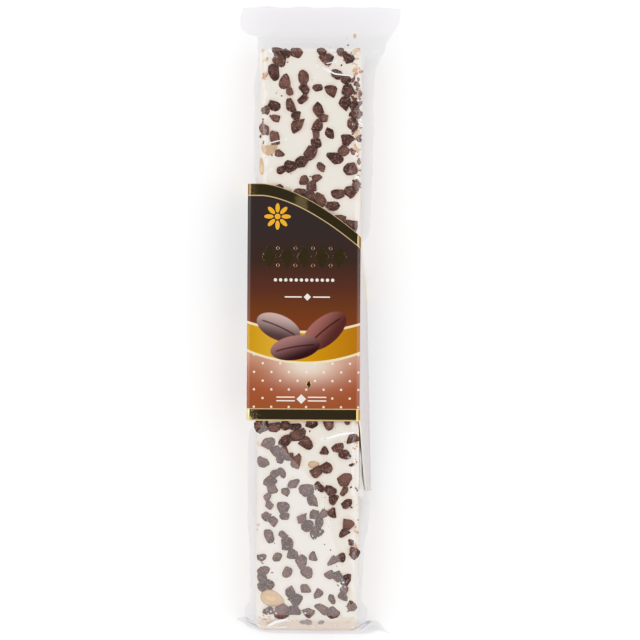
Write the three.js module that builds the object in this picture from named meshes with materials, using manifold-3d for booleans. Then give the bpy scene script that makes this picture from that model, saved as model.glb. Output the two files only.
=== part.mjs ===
// A long nougat bar with chocolate chips, shut in a clear film bag with two flat end seals,
// and a folded card sleeve round its middle. The pack lies on its back with the label up.
// Millimetres. X runs across the pack, Y along it and Z up.
import * as THREE from "three";
import { mergeVertices } from "three/addons/utils/BufferGeometryUtils.js";
import Module from "manifold-3d";

const wasm = await Module();
wasm.setup();

// The bag, measured from the middle of the bar
const bagTop = 17.2; // film over the bar's shown face
const bagUnderside = 0.75; // film under the bar, above the sleeve's bottom panel
const filmCorner = 3.2; // how far in from the bar's edge the film starts to round over
const bulgeShare = 0.3; // the sides stand out most at this share of the bag's thickness
const squareness = 2.6; // the shoulders are rounder than a box and squarer than an ellipse
const barHalfWidth = 17.5;
const topSealStart = 100.2; // where the end film has closed into a flat seal
const topSealEnd = 109.5;
const sealThickness = 0.6;
const bottomSealHeight = 2.6; // the bottom seal leaves the bag's foot at this height
const bottomSealFoot = 1.25; // and its free edge lies this high
const bottomSealHalfWidth = 21; // where it leaves the bag; it flares to its free edge from there
const bottomSealFlare = 1.6;
const endSlant = 5.4; // the bar's lower end is cut aslant, so its foot reaches further
const cornerBack = 2.6; // the film's lower corners are drawn in this much
const cornerBackFrom = -92; // the drawing in starts here and is full 8 mm further down
const cornerBackRun = 8;
const cornerBackStart = 14.5; // and it grows from here to the side of the bag
const cornerBackWidth = 6.5;
const slantFrom = -74; // the slant of the lower end comes in gradually from here
const slantRun = 20;
const narrowestTurn = 0.5; // a flat panel stops at least this far from the side
const flatToTheSides = -20; // corner of a seal, which is flat right to its sides
const sealMiddle = 4.6; // height of the top seal's free edge
const sealRise = 3.6; // and how much higher it leaves the bag
const sideSteps = 8;
const topSteps = 6;
const bottomSteps = 4;

// Outlines of the bag seen from above: distance along the pack, then distance across it
const leftOutline = [
  [109.5, -23.2], [106, -24.0], [103.2, -23.8], [101.2, -22.0], [100.2, -18.6], [98, -18.1],
  [91, -18.0], [83, -19.1], [56, -18.9], [49, -18.5], [0, -18.0], [-30.2, -17.5],
  [-33.5, -19.9], [-50, -20.5], [-66, -20.1], [-78, -19.3], [-90, -19.3], [-96, -20.9],
];
const rightOutline = [
  [109.5, 30.4], [105, 29.9], [101, 27.4], [98, 25.6], [95.5, 25.1], [91, 22.7], [87, 21.5],
  [60, 21.2], [40, 20.6], [33, 20.0], [29.6, 17.6], [10, 17.5], [-40, 18.0],
  [-54, 18.3], [-57, 21.0], [-66, 20.3], [-72, 19.2], [-90, 18.5], [-96, 20.2],
];
// The bottom seal's fold line and free edge: distance across, then distance along
const sealFold = [
  [-23.7, -97.3], [-21, -96.9], [-18, -100.2], [-13, -101.6], [16, -101.7], [19, -100.6],
  [21, -97.9], [24, -98.1], [27.8, -101.6],
];
const sealFreeEdge = [
  [-23.7, -98.2], [-19.5, -100.4], [-15, -101.9], [-8, -102.4], [19, -102.5], [22, -102.1],
  [24.8, -101.3], [27.8, -102.3],
];

// Chocolate chips pressed into the shown face. Touching chips lie along bent runs, whose bends are
// given across and along the bar, and loose chips are scattered between them
const upperChips = {
  seed: 34550597,
  loose: 27,
  start: 94.6,
  end: 36.0,
  runs: [
    [[-11.8, 94.4], [-3.4, 94.0]],
    [[-10.5, 91.6], [-12.9, 86.7]],
    [[-2.0, 85.9], [-2.2, 77.4]],
    [[-6.8, 76.0], [-4.3, 72.7], [-4.5, 68.9]],
    [[2.6, 74.7], [5.2, 72.7], [1.2, 68.7], [2.3, 64.6], [-1.0, 57.9], [-11.3, 53.8]],
    [[12.9, 81.2], [10.9, 77.6], [14.9, 77.2], [15.5, 73.7], [13.6, 71.9], [14.4, 68.0]],
    [[3.7, 94.5], [4.5, 91.6], [8.4, 89.6]],
    [[3.5, 55.1], [1.1, 50.2]],
    [[-3.3, 47.0], [5.4, 43.7], [9.8, 39.9]],
  ],
};
const lowerChips = {
  seed: 127487981,
  loose: 42,
  start: -28.3,
  end: -94.6,
  runs: [
    [[-15.5, -31.6], [-4.1, -31.6], [-3.8, -35.5], [2.3, -38.2]],
    [[-7.7, -36.0], [-7.6, -41.8], [-1.8, -44.5]],
    [[6.4, -45.1], [-1.3, -48.4]],
    [[-8.6, -46.7], [-13.6, -49.1], [-10.7, -52.2], [-13.8, -53.9]],
    [[-0.3, -53.0], [0.7, -55.9], [3.1, -58.1]],
    [[4.1, -52.2], [7.7, -53.2], [9.4, -58.1]],
    [[-8.0, -58.8], [-6.6, -61.7], [-10.6, -62.8]],
    [[-1.7, -62.2], [2.0, -69.0], [5.4, -61.7]],
    [[-7.9, -67.8], [-6.7, -71.2], [-4.7, -75.5]],
    [[-13.9, -79.9], [-15.5, -83.5], [-14.6, -86.4], [-11.3, -84.2]],
    [[7.2, -81.6], [13.7, -82.3], [13.3, -85.9], [10.9, -90.3]],
    [[-5.7, -87.2], [-3.5, -90.8], [-4.4, -94.2], [-14.9, -93.4]],
  ],
};
const chipShapeSeed = 77003;
const chipReach = 15.6; // how far across the bar a chip's middle may lie
const smallestChip = 1.5; // half width of a chip, before it is drawn out
const chipSizeSpread = 1.05;
const chipStretch = 0.55;
const chipStep = 1.86; // from one chip of a run to the next, for a chip of half width 1
const runWander = 0.8; // how far chips stray to either side of their run, in all
const chipUnderSleeve = 1.5; // chips still lie this far under the sleeve's edges
const clusterChance = 0.35;
const clusterReach = 0.93;
const clusterRoom = 0.8;
const looseRoom = 1.12; // loose chips keep this much apart, in shares of their half widths
const chipTries = 4000;
const chipHalfHeight = 1.0625;
const chipSunk = 0.17; // a chip's widest part lies this far under the film
const chipNarrowest = 0.86; // a lump's corners are drawn in and out between these shares
const chipSwell = 0.3;

// A blanched almond near the lower left corner
const almond = {
  x: -11.6,
  y: -89.7,
  length: 8.6,
  width: 5.4,
  halfHeight: 1.33,
  sunk: 0.38,
  taper: 0.22,
  turn: -0.35,
};
const almondClear = { across: 6.4, along: 4.4 }; // no loose chip lies within this oval

// The card sleeve
const cardThickness = 0.45;
const sleeveHeight = 18.9;
const sleeveLeft = -21.0; // front fold on the left
const sleeveRight = 17.25; // front fold on the right
const backPanelWidth = 38.9;
const backFoldShift = 20.3; // right back fold where y is zero, as the sleeve leans
const backFoldTwist = -0.028; // the lean grows towards the lower end
const foldReach = 1.3; // length of card taken up by half of a rounded fold
const sleeveTop = 50.0;
const sleeveBottom = -29.8;
const topCurveStart = 4.8; // along the card from the left front fold
const topCurveScale = 0.064;
const topCurvePower = 1.6;
const bottomTabDrop = 23.9; // the right side panel reaches this much lower
const bottomTabShare = 0.62; // share of the side panel's height that the drop takes
const panelSteps = [22, 9, 9, 3]; // front, right side, back and left side
const foldSteps = 4;

function smoothStep(value) {
  const t = Math.min(Math.max(value, 0), 1);
  return t * t * (3 - 2 * t);
}

// Value of an outline at a place, with eased joins between its points
function along(outline, place) {
  const rising = outline[0][0] < outline[outline.length - 1][0];
  const points = rising ? outline : [...outline].reverse();
  const last = points.length - 1;
  if (place <= points[0][0]) {
    return points[0][1];
  }
  if (place >= points[last][0]) {
    return points[last][1];
  }
  const next = points.findIndex((point) => point[0] > place);
  const slope = (i) => {
    const before = points[Math.max(i - 1, 0)];
    const after = points[Math.min(i + 1, last)];
    const left = points[i][1] - before[1];
    const right = after[1] - points[i][1];
    return left * right <= 0 ? 0 : (after[1] - before[1]) / (after[0] - before[0]);
  };
  const [startPlace, start] = points[next - 1];
  const [endPlace, end] = points[next];
  const span = endPlace - startPlace;
  const t = (place - startPlace) / span;
  const startWeight = (1 + 2 * t) * (1 - t) * (1 - t);
  const endWeight = t * t * (3 - 2 * t);
  const startPull = t * (1 - t) * (1 - t) * span * slope(next - 1);
  const endPull = t * t * (t - 1) * span * slope(next);
  return startWeight * start + endWeight * end + startPull + endPull;
}

// Seeded draws between 0 and 1, so that each build gives the same chips
function drawsFrom(seed) {
  let state = seed;
  return () => {
    state = (state * 16807) % 2147483647;
    return state / 2147483647;
  };
}

function makeGeometry(positions, indices) {
  const geometry = new THREE.BufferGeometry();
  geometry.setAttribute("position", new THREE.Float32BufferAttribute(positions, 3));
  geometry.setIndex(indices);
  return geometry;
}

function solidFrom(geometry) {
  const bare = geometry.clone();
  bare.deleteAttribute("normal");
  bare.deleteAttribute("uv");
  const merged = mergeVertices(bare, 1e-4);
  return new wasm.Manifold(new wasm.Mesh({
    numProp: 3,
    vertProperties: new Float32Array(merged.attributes.position.array),
    triVerts: new Uint32Array(merged.index.array),
  }));
}

function geometryFrom(solid) {
  const mesh = solid.getMesh();
  return makeGeometry(Array.from(mesh.vertProperties), Array.from(mesh.triVerts));
}

// Closes rings of equal length into one skin, with a fan over each end
function loft(rings) {
  const count = rings[0].length;
  const positions = rings.flat().flatMap((point) => [point.x, point.y, point.z]);
  const indices = [];
  for (let r = 0; r < rings.length - 1; r += 1) {
    for (let i = 0; i < count; i += 1) {
      const a = r * count + i;
      const b = r * count + ((i + 1) % count);
      indices.push(a, b + count, b, a, a + count, b + count);
    }
  }
  for (const [start, flip] of [[0, true], [(rings.length - 1) * count, false]]) {
    const middle = positions.length / 3;
    const centre = new THREE.Vector3();
    rings[start / count].forEach((point) => centre.addScaledVector(point, 1 / count));
    positions.push(centre.x, centre.y, centre.z);
    for (let i = 0; i < count; i += 1) {
      const a = start + i;
      const b = start + ((i + 1) % count);
      if (flip) {
        indices.push(middle, a, b);
      } else {
        indices.push(middle, b, a);
      }
    }
  }
  return makeGeometry(positions, indices);
}

// One ring round the bag. place(x, share) gives the point at x, from underside 0 to top 1
function bagRing(left, right, corner, place) {
  const flatLeft = Math.max(left + narrowestTurn, -barHalfWidth + corner);
  const flatRight = Math.min(right - narrowestTurn, barHalfWidth - corner);
  const ring = [];
  const squared = (part) => Math.sign(part) * Math.abs(part) ** (2 / squareness);
  const heightAt = (angle) => {
    const reach = angle > 0 ? 1 - bulgeShare : bulgeShare;
    return bulgeShare + reach * squared(Math.sin(angle));
  };
  const widthAt = (angle) => squared(Math.max(Math.cos(angle), 0));
  for (let i = 0; i <= sideSteps; i += 1) {
    const angle = Math.PI / 2 - (Math.PI * i) / sideSteps;
    ring.push(place(flatRight + (right - flatRight) * widthAt(angle), heightAt(angle)));
  }
  for (let i = 1; i < bottomSteps; i += 1) {
    ring.push(place(THREE.MathUtils.lerp(flatRight, flatLeft, i / bottomSteps), 0));
  }
  for (let i = 0; i <= sideSteps; i += 1) {
    const angle = -Math.PI / 2 + (Math.PI * i) / sideSteps;
    ring.push(place(flatLeft + (left - flatLeft) * widthAt(angle), heightAt(angle)));
  }
  for (let i = 1; i < topSteps; i += 1) {
    ring.push(place(THREE.MathUtils.lerp(flatLeft, flatRight, i / topSteps), 1));
  }
  return ring;
}

function sealWave(x, y) {
  return 0.35 * Math.sin(0.45 * x + 0.3 * y) + 0.2 * Math.sin(1.1 * x + 1);
}

// The flat top seal droops a little and waves
function topSealRing(y) {
  const share = (topSealEnd - y) / (topSealEnd - topSealStart);
  const middle = sealMiddle + sealRise * share;
  const left = along(leftOutline, y);
  const right = along(rightOutline, y);
  return bagRing(left, right, flatToTheSides, (x, height) => new THREE.Vector3(
    x,
    y - (1 - share) * (0.3 + 0.25 * Math.sin(0.5 * x)),
    middle + sealWave(x, y) * (1 - 0.7 * share) + sealThickness * (height - 0.5),
  ));
}

// The bar's body and its closing ends. Top and underside may lie at different places along
function bodyRing(topY, topZ, underY, underZ) {
  const y = (topY + underY) / 2;
  const back = cornerBack * smoothStep((cornerBackFrom - underY) / cornerBackRun);
  return bagRing(along(leftOutline, y), along(rightOutline, y), filmCorner, (x, height) => {
    const aside = smoothStep((Math.abs(x) - cornerBackStart) / cornerBackWidth);
    return new THREE.Vector3(
      x,
      THREE.MathUtils.lerp(underY, topY, height) + back * aside,
      THREE.MathUtils.lerp(underZ, topZ, height),
    );
  });
}

// The bottom seal hangs from its fold line to the floor and runs out there
function bottomSealRing(share) {
  const widening = smoothStep(share * bottomSealFlare);
  const last = sealFreeEdge.length - 1;
  const left = THREE.MathUtils.lerp(-bottomSealHalfWidth, sealFreeEdge[0][0], widening);
  const right = THREE.MathUtils.lerp(bottomSealHalfWidth, sealFreeEdge[last][0], widening);
  const drop = Math.sin((share * Math.PI) / 2);
  return bagRing(left, right, flatToTheSides, (x, height) => {
    const y = THREE.MathUtils.lerp(along(sealFold, x), along(sealFreeEdge, x), share * share);
    const z = THREE.MathUtils.lerp(bottomSealHeight, bottomSealFoot, drop);
    const ripple = 0.1 * Math.sin(0.9 * x) * share;
    const skin = sealThickness * (height - 0.5);
    return new THREE.Vector3(x, y - 0.75 * skin, z + ripple + 0.65 * skin);
  });
}

// Even steps along the bar, and the outlines' own points
function bodyPlaces() {
  const start = 95;
  const end = -94;
  const steps = 27;
  const clearOfEnds = 2;
  const nearest = 0.4;
  const turns = [...leftOutline, ...rightOutline].map((point) => point[0]);
  const places = turns.filter((y) => y < start - clearOfEnds && y > end + clearOfEnds);
  for (let i = 0; i <= steps; i += 1) {
    places.push(THREE.MathUtils.lerp(start, end, i / steps));
  }
  places.sort((a, b) => b - a);
  const last = places.length - 1;
  return places.filter((y, i) => i === 0 || i === last || places[i - 1] - y > nearest);
}

function makeBagBody() {
  const sealPlaces = [topSealEnd, 108.6, 106.8, 105, 103.4, 102.2, 101.2, 100.6];
  const rings = sealPlaces.map((y) => topSealRing(y));
  // The end film closes in from the bar to the seal: where, and how high, for top and underside
  rings.push(bodyRing(100.0, 9.6, 100.0, 7.2));
  rings.push(bodyRing(99.2, 12.2, 99.2, 4.6));
  rings.push(bodyRing(98.3, 14.6, 98.3, 2.4));
  rings.push(bodyRing(97.4, 16.2, 97.4, 1.2));
  rings.push(bodyRing(96.4, bagTop - 0.2, 96.4, bagUnderside + 0.1));
  for (const y of bodyPlaces()) {
    const slant = smoothStep((slantFrom - y) / slantRun);
    rings.push(bodyRing(y, bagTop, y - endSlant * slant, bagUnderside));
  }
  // The lower end falls steeply from the shown face to the bottom seal
  rings.push(bodyRing(-95.3, bagTop - 0.2, -100.9, bagUnderside + 0.1));
  rings.push(bodyRing(-96.3, 15.6, -101.3, 1.0));
  rings.push(bodyRing(-97.5, 12.2, -101.5, 1.25));
  rings.push(bodyRing(-98.9, 8.4, -101.6, 1.5));
  rings.push(bodyRing(-100.3, 5.0, -101.7, 1.8));
  const sealSteps = 6;
  for (let i = 0; i <= sealSteps; i += 1) {
    rings.push(bottomSealRing(i / sealSteps));
  }
  return loft(rings);
}

// Height of the sleeve's upper edge over the shown face, for chips that reach under it
function sleeveEdgeAbove(x) {
  const share = Math.max(x - sleeveLeft - topCurveStart, 0);
  return sleeveTop - topCurveScale * share ** topCurvePower;
}

function newChip(draw) {
  const size = smallestChip + chipSizeSpread * draw();
  const stretch = 1 + chipStretch * draw();
  const turn = Math.PI * draw();
  return { size, stretch, turn };
}

// The point of a bent run that lies this far from its start, or null past its end
function pointOnRun(run, distance) {
  let left = distance;
  for (let i = 0; i < run.length - 1; i += 1) {
    const [startX, startY] = run[i];
    const [endX, endY] = run[i + 1];
    const length = Math.hypot(endX - startX, endY - startY);
    if (left <= length) {
      const share = left / length;
      return [startX + (endX - startX) * share, startY + (endY - startY) * share];
    }
    left -= length;
  }
  return null;
}

function layRun(draw, run) {
  const chips = [];
  let gone = 0;
  let point = pointOnRun(run, gone);
  while (point) {
    const chip = newChip(draw);
    const aside = runWander * (draw() - 0.5);
    chip.x = Math.min(Math.max(point[0] + aside, -chipReach), chipReach);
    chip.y = point[1] + aside;
    chips.push(chip);
    gone += chipStep * chip.size;
    point = pointOnRun(run, gone);
  }
  return chips;
}

// Lays the runs, then loose chips, some of which join the one before. Each try takes six draws
function layChips(place, isInside) {
  const draw = drawsFrom(place.seed);
  const chips = place.runs.flatMap((run) => layRun(draw, run));
  const wanted = chips.length + place.loose;
  let last = null;
  for (let tries = 0; tries < chipTries && chips.length < wanted; tries += 1) {
    const chip = newChip(draw);
    const joined = draw() < clusterChance && last !== null;
    const first = draw();
    const second = draw();
    chip.x = (2 * first - 1) * chipReach;
    chip.y = place.start - second * (place.start - place.end);
    if (joined) {
      const reach = clusterReach * (last.size + chip.size);
      chip.x = last.x + reach * Math.cos(2 * Math.PI * first);
      chip.y = last.y + reach * Math.sin(2 * Math.PI * first);
    }
    const room = joined ? clusterRoom : looseRoom;
    const clear = chips.every((other) => (
      Math.hypot(other.x - chip.x, other.y - chip.y) > room * (other.size + chip.size)
    ));
    if (Math.abs(chip.x) <= chipReach && clear && isInside(chip.x, chip.y)) {
      chips.push(chip);
      last = chip;
    } else if (joined) {
      last = null;
    }
  }
  return chips;
}

function isUpper(x, y) {
  return y < upperChips.start && y > sleeveEdgeAbove(x) - chipUnderSleeve;
}

function isLower(x, y) {
  const away = Math.hypot((x - almond.x) / almondClear.across, (y - almond.y) / almondClear.along);
  return y > lowerChips.end && y < sleeveBottom + chipUnderSleeve && away >= 1;
}

// A chip is a rough lump whose widest part lies at the film, so nothing is undercut
function makeChip(chip, draw) {
  const geometry = new THREE.IcosahedronGeometry(1, 0);
  geometry.deleteAttribute("normal");
  geometry.deleteAttribute("uv");
  const lump = mergeVertices(geometry);
  const place = lump.attributes.position;
  for (let i = 0; i < place.count; i += 1) {
    const swell = chipNarrowest + chipSwell * draw();
    place.setXYZ(i, place.getX(i) * swell, place.getY(i) * swell, place.getZ(i));
  }
  const drawnOut = Math.sqrt(chip.stretch);
  lump.scale(chip.size * drawnOut, chip.size / drawnOut, chipHalfHeight);
  lump.rotateZ(chip.turn);
  lump.translate(chip.x, chip.y, bagTop - chipSunk);
  return lump;
}

function makeAlmond() {
  const geometry = new THREE.SphereGeometry(1, 14, 8);
  geometry.rotateX(Math.PI / 2);
  const place = geometry.attributes.position;
  for (let i = 0; i < place.count; i += 1) {
    place.setY(i, place.getY(i) * (1 - almond.taper * place.getX(i)));
  }
  geometry.scale(almond.length / 2, almond.width / 2, almond.halfHeight);
  geometry.rotateZ(almond.turn);
  geometry.translate(almond.x, almond.y, bagTop - almond.sunk);
  return geometry;
}

function makeBag() {
  let bag = solidFrom(makeBagBody());
  const shapeDraw = drawsFrom(chipShapeSeed);
  const chips = [...layChips(upperChips, isUpper), ...layChips(lowerChips, isLower)];
  for (const chip of chips) {
    bag = bag.add(solidFrom(makeChip(chip, shapeDraw)));
  }
  bag = bag.add(solidFrom(makeAlmond()));
  return geometryFrom(bag);
}

// The sleeve's four corners where it is cut at y, moved in by inset, from the left front fold on
function sleeveCorners(y, inset) {
  const backRight = backFoldShift + backFoldTwist * y;
  const backLeft = backRight - backPanelWidth;
  const top = sleeveHeight - inset;
  const wall = (frontX, backX, side) => (z) => {
    const lean = (backX - frontX) / sleeveHeight;
    return frontX + lean * (sleeveHeight - z) + side * inset * Math.hypot(1, lean);
  };
  const leftWall = wall(sleeveLeft, backLeft, 1);
  const rightWall = wall(sleeveRight, backRight, -1);
  return [
    new THREE.Vector2(leftWall(top), top),
    new THREE.Vector2(rightWall(top), top),
    new THREE.Vector2(rightWall(inset), inset),
    new THREE.Vector2(leftWall(inset), inset),
  ];
}

// Points round the sleeve at y: each panel, then the rounded fold after it
function sleeveRing(y, inset) {
  const corners = sleeveCorners(y, inset);
  const reach = foldReach - inset;
  const ring = [];
  corners.forEach((corner, i) => {
    const next = corners[(i + 1) % 4];
    const after = corners[(i + 2) % 4];
    const step = next.clone().sub(corner).normalize().multiplyScalar(reach);
    const start = corner.clone().add(step);
    const end = next.clone().sub(step);
    for (let k = 0; k < panelSteps[i]; k += 1) {
      ring.push(start.clone().lerp(end, k / panelSteps[i]));
    }
    const leave = next.clone().add(after.clone().sub(next).normalize().multiplyScalar(reach));
    const bend = new THREE.QuadraticBezierCurve(end, next, leave);
    for (let k = 0; k < foldSteps; k += 1) {
      ring.push(bend.getPoint(k / foldSteps));
    }
  });
  return ring;
}

// Distance of each ring point along the card, from the left front fold
function cardDistances(ring) {
  const distances = [foldReach];
  for (let i = 1; i < ring.length; i += 1) {
    distances.push(distances[i - 1] + ring[i].distanceTo(ring[i - 1]));
  }
  return distances;
}

const frontWidth = sleeveRight - sleeveLeft;
const sideLength = frontWidth + sleeveHeight;
const backLength = sideLength + backPanelWidth;

function upperEdge(distance) {
  const drop = (place) => topCurveScale * Math.max(place - topCurveStart, 0) ** topCurvePower;
  if (distance <= sideLength) {
    return sleeveTop - drop(distance);
  }
  const back = smoothStep((distance - sideLength) / backPanelWidth);
  return sleeveTop - drop(sideLength) * (1 - back);
}

function lowerEdge(distance) {
  if (distance <= sideLength) {
    const side = smoothStep((distance - frontWidth) / (sleeveHeight * bottomTabShare));
    return sleeveBottom - bottomTabDrop * side;
  }
  const back = smoothStep((distance - sideLength) / backPanelWidth);
  return sleeveBottom - bottomTabDrop * (1 - back);
}

// A closed band of card: an outer and an inner skin joined along both cut edges
function makeSleeve() {
  const rows = 4;
  const reference = cardDistances(sleeveRing(0, 0)).map((distance) => Math.min(distance, backLength));
  const count = reference.length;
  const positions = [];
  for (const inset of [0, cardThickness]) {
    for (let row = 0; row <= rows; row += 1) {
      reference.forEach((distance, i) => {
        const y = THREE.MathUtils.lerp(lowerEdge(distance), upperEdge(distance), row / rows);
        const point = sleeveRing(y, inset)[i];
        positions.push(point.x, y, point.y);
      });
    }
  }
  const indices = [];
  const at = (skin, row, i) => (skin * (rows + 1) + row) * count + (i % count);
  const quad = (a, b, c, d) => indices.push(a, b, c, a, c, d);
  for (let i = 0; i < count; i += 1) {
    for (let row = 0; row < rows; row += 1) {
      quad(at(0, row, i), at(0, row, i + 1), at(0, row + 1, i + 1), at(0, row + 1, i));
      quad(at(1, row, i + 1), at(1, row, i), at(1, row + 1, i), at(1, row + 1, i + 1));
    }
    quad(at(0, rows, i), at(0, rows, i + 1), at(1, rows, i + 1), at(1, rows, i));
    quad(at(1, 0, i), at(1, 0, i + 1), at(0, 0, i + 1), at(0, 0, i));
  }
  return makeGeometry(positions, indices);
}

function addPart(group, name, geometry, color, roughness) {
  const material = new THREE.MeshStandardMaterial({ color, roughness, metalness: 0 });
  const mesh = new THREE.Mesh(geometry, material);
  mesh.name = name;
  group.add(mesh);
}

const pack = new THREE.Group();
addPart(pack, "clear_bag", makeBag(), 0xece4d8, 0.25);
addPart(pack, "label_sleeve", makeSleeve(), 0x6e402c, 0.3);

// The origin lies in the middle under the whole pack
const extent = new THREE.Box3().setFromObject(pack, true);
const middle = extent.getCenter(new THREE.Vector3());
pack.position.set(-middle.x, -middle.y, -extent.min.z);

export default pack;
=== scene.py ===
import math

import bpy
import numpy as np
from mathutils import Matrix, Vector, noise


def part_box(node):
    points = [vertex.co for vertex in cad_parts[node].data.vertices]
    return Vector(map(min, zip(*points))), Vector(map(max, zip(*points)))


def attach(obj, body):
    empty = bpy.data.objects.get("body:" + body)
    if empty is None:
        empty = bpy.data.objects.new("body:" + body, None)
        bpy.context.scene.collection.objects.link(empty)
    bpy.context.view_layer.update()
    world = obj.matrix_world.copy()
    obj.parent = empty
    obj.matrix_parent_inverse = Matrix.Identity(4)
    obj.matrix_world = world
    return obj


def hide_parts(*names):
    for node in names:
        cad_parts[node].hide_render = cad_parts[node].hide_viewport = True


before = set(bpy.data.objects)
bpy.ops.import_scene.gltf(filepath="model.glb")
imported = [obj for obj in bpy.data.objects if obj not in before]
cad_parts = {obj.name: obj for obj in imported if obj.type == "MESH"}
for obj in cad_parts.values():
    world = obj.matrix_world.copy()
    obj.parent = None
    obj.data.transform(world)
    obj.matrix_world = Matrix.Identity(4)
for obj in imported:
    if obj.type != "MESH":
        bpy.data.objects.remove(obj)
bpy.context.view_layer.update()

mm = 0.001

# Places are given in millimetres from the middle of the bar, at the level of the table.
# The top seal's right corner and the card's upper edge tell where that middle lies in the frame.
topSealRight = 30.4
cardUpperEdge = 50.0
shift = Vector((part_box("clear_bag")[1].x - topSealRight * mm,
                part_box("label_sleeve")[1].y - cardUpperEdge * mm, 0))
# The moves that take a mesh in millimetres to its place in the frame
toFrame = (Matrix.Scale(mm, 4), Matrix.Translation(shift))


def packPoint(x, y, z):
    return Vector((x, y, z)) * mm + shift


def mix(first, second, share):
    return first + (second - first) * share


def smoothStep(value):
    t = min(max(value, 0), 1)
    return t * t * (3 - 2 * t)


# Value of an outline at a place, with eased joins between its points
def along(outline, place):
    points = sorted(outline)
    last = len(points) - 1
    if place <= points[0][0]:
        return points[0][1]
    if place >= points[last][0]:
        return points[last][1]
    end = next(i for i, point in enumerate(points) if point[0] > place)

    def slope(i):
        before, after = points[max(i - 1, 0)], points[min(i + 1, last)]
        rise, fall = points[i][1] - before[1], after[1] - points[i][1]
        return 0 if rise * fall <= 0 else (after[1] - before[1]) / (after[0] - before[0])

    (startPlace, startValue), (endPlace, endValue) = points[end - 1], points[end]
    span = endPlace - startPlace
    t = (place - startPlace) / span
    return ((1 + 2 * t) * (1 - t) ** 2 * startValue + t * t * (3 - 2 * t) * endValue
            + t * (1 - t) ** 2 * span * slope(end - 1) + t * t * (t - 1) * span * slope(end))


# Seeded draws between 0 and 1
def drawsFrom(seed):
    state = seed

    def draw():
        nonlocal state
        state = (state * 16807) % 2147483647
        return state / 2147483647

    return draw


def deselectAll():
    if bpy.context.object and bpy.context.object.mode != "OBJECT":
        bpy.ops.object.mode_set(mode="OBJECT")
    bpy.ops.object.select_all(action="DESELECT")


def selectOnly(piece):
    deselectAll()
    piece.select_set(True)
    bpy.context.view_layer.objects.active = piece


def named(name):
    made = bpy.context.object
    made.name = name
    made.data.name = name
    return made


# Puts a piece's place into its mesh, so that its object sits at the origin
def settle(piece):
    selectOnly(piece)
    bpy.ops.object.transform_apply(location=True, rotation=True, scale=True)
    return piece


def joinPieces(pieces, name):
    selectOnly(pieces[0])
    for piece in pieces:
        piece.select_set(True)
    bpy.ops.object.join()
    return named(name)


def smoothed(piece, angle=None):
    selectOnly(piece)
    if angle is None:
        bpy.ops.object.shade_smooth()
    else:
        bpy.ops.object.shade_smooth_by_angle(angle=math.radians(angle))


def moveMesh(piece, *moves):
    for move in moves:
        piece.data.transform(move)


def setField(piece, name, values):
    layer = piece.data.attributes.new(name, "FLOAT", "POINT")
    layer.data.foreach_set("value", np.asarray(values, np.float32).ravel())


# A flat grid with a row of vertices for each row of points, which are in millimetres
def sheetFrom(points, name):
    rows, columns = points.shape[:2]
    deselectAll()
    bpy.ops.mesh.primitive_grid_add(x_subdivisions=columns - 1, y_subdivisions=rows - 1, size=0.1,
                                    calc_uvs=False)
    sheet = named(name)
    places = points.reshape(-1, 3) * mm + np.array(shift)
    sheet.data.vertices.foreach_set("co", places.astype(np.float32).ravel())
    sheet.data.update()
    return settle(sheet)


# Merges the edges of a sheet that meet, closes what is left open and turns its faces outwards
def closeSheet(sheet, fill=False):
    selectOnly(sheet)
    bpy.ops.object.mode_set(mode="EDIT")
    bpy.ops.mesh.select_all(action="SELECT")
    bpy.ops.mesh.remove_doubles(threshold=0.005 * mm)
    if fill:
        bpy.ops.mesh.select_all(action="DESELECT")
        bpy.ops.mesh.select_mode(type="EDGE")
        bpy.ops.mesh.select_non_manifold()
        bpy.ops.mesh.fill_holes(sides=0)
    bpy.ops.mesh.select_all(action="SELECT")
    bpy.ops.mesh.normals_make_consistent(inside=False)
    bpy.ops.object.mode_set(mode="OBJECT")


# Helpers for materials. A node goes into the tree that its first linked value belongs to
def feed(value, socket):
    if isinstance(value, bpy.types.NodeSocket):
        value.id_data.links.new(value, socket)
    else:
        socket.default_value = value


def calc(operation, *values):
    tree = next(value.id_data for value in values if isinstance(value, bpy.types.NodeSocket))
    node = tree.nodes.new("ShaderNodeMath")
    node.operation = operation
    for value, socket in zip(values, node.inputs):
        feed(value, socket)
    return node.outputs[0]


def add(first, second):
    return calc("ADD", first, second)


def sub(first, second):
    return calc("SUBTRACT", first, second)


def mul(first, second):
    return calc("MULTIPLY", first, second)


def absolute(value):
    return calc("ABSOLUTE", value)


def lengthOf(first, second):
    return calc("SQRT", add(mul(first, first), mul(second, second)))


def both(*masks):
    result = masks[0]
    for mask in masks[1:]:
        result = mul(result, mask)
    return result


def either(*masks):
    result = masks[0]
    for mask in masks[1:]:
        result = calc("MAXIMUM", result, mask)
    return result


# 0 below start and 1 above end, or the other way round where start is the larger
def ease(value, start, end):
    node = value.id_data.nodes.new("ShaderNodeMapRange")
    node.interpolation_type = "SMOOTHSTEP"
    feed(value, node.inputs["Value"])
    node.inputs["From Min"].default_value = min(start, end)
    node.inputs["From Max"].default_value = max(start, end)
    node.inputs["To Min"].default_value = 0 if start < end else 1
    node.inputs["To Max"].default_value = 1 if start < end else 0
    return node.outputs["Result"]


def within(value, low, high, soft=0.08):
    return both(ease(value, low - soft, low + soft), ease(value, high + soft, high - soft))


def mixColor(share, first, second):
    node = share.id_data.nodes.new("ShaderNodeMix")
    node.data_type = "RGBA"
    for value, socket in ((share, 0), (first, 6), (second, 7)):
        feed(value, node.inputs[socket])
    return node.outputs[2]


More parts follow.
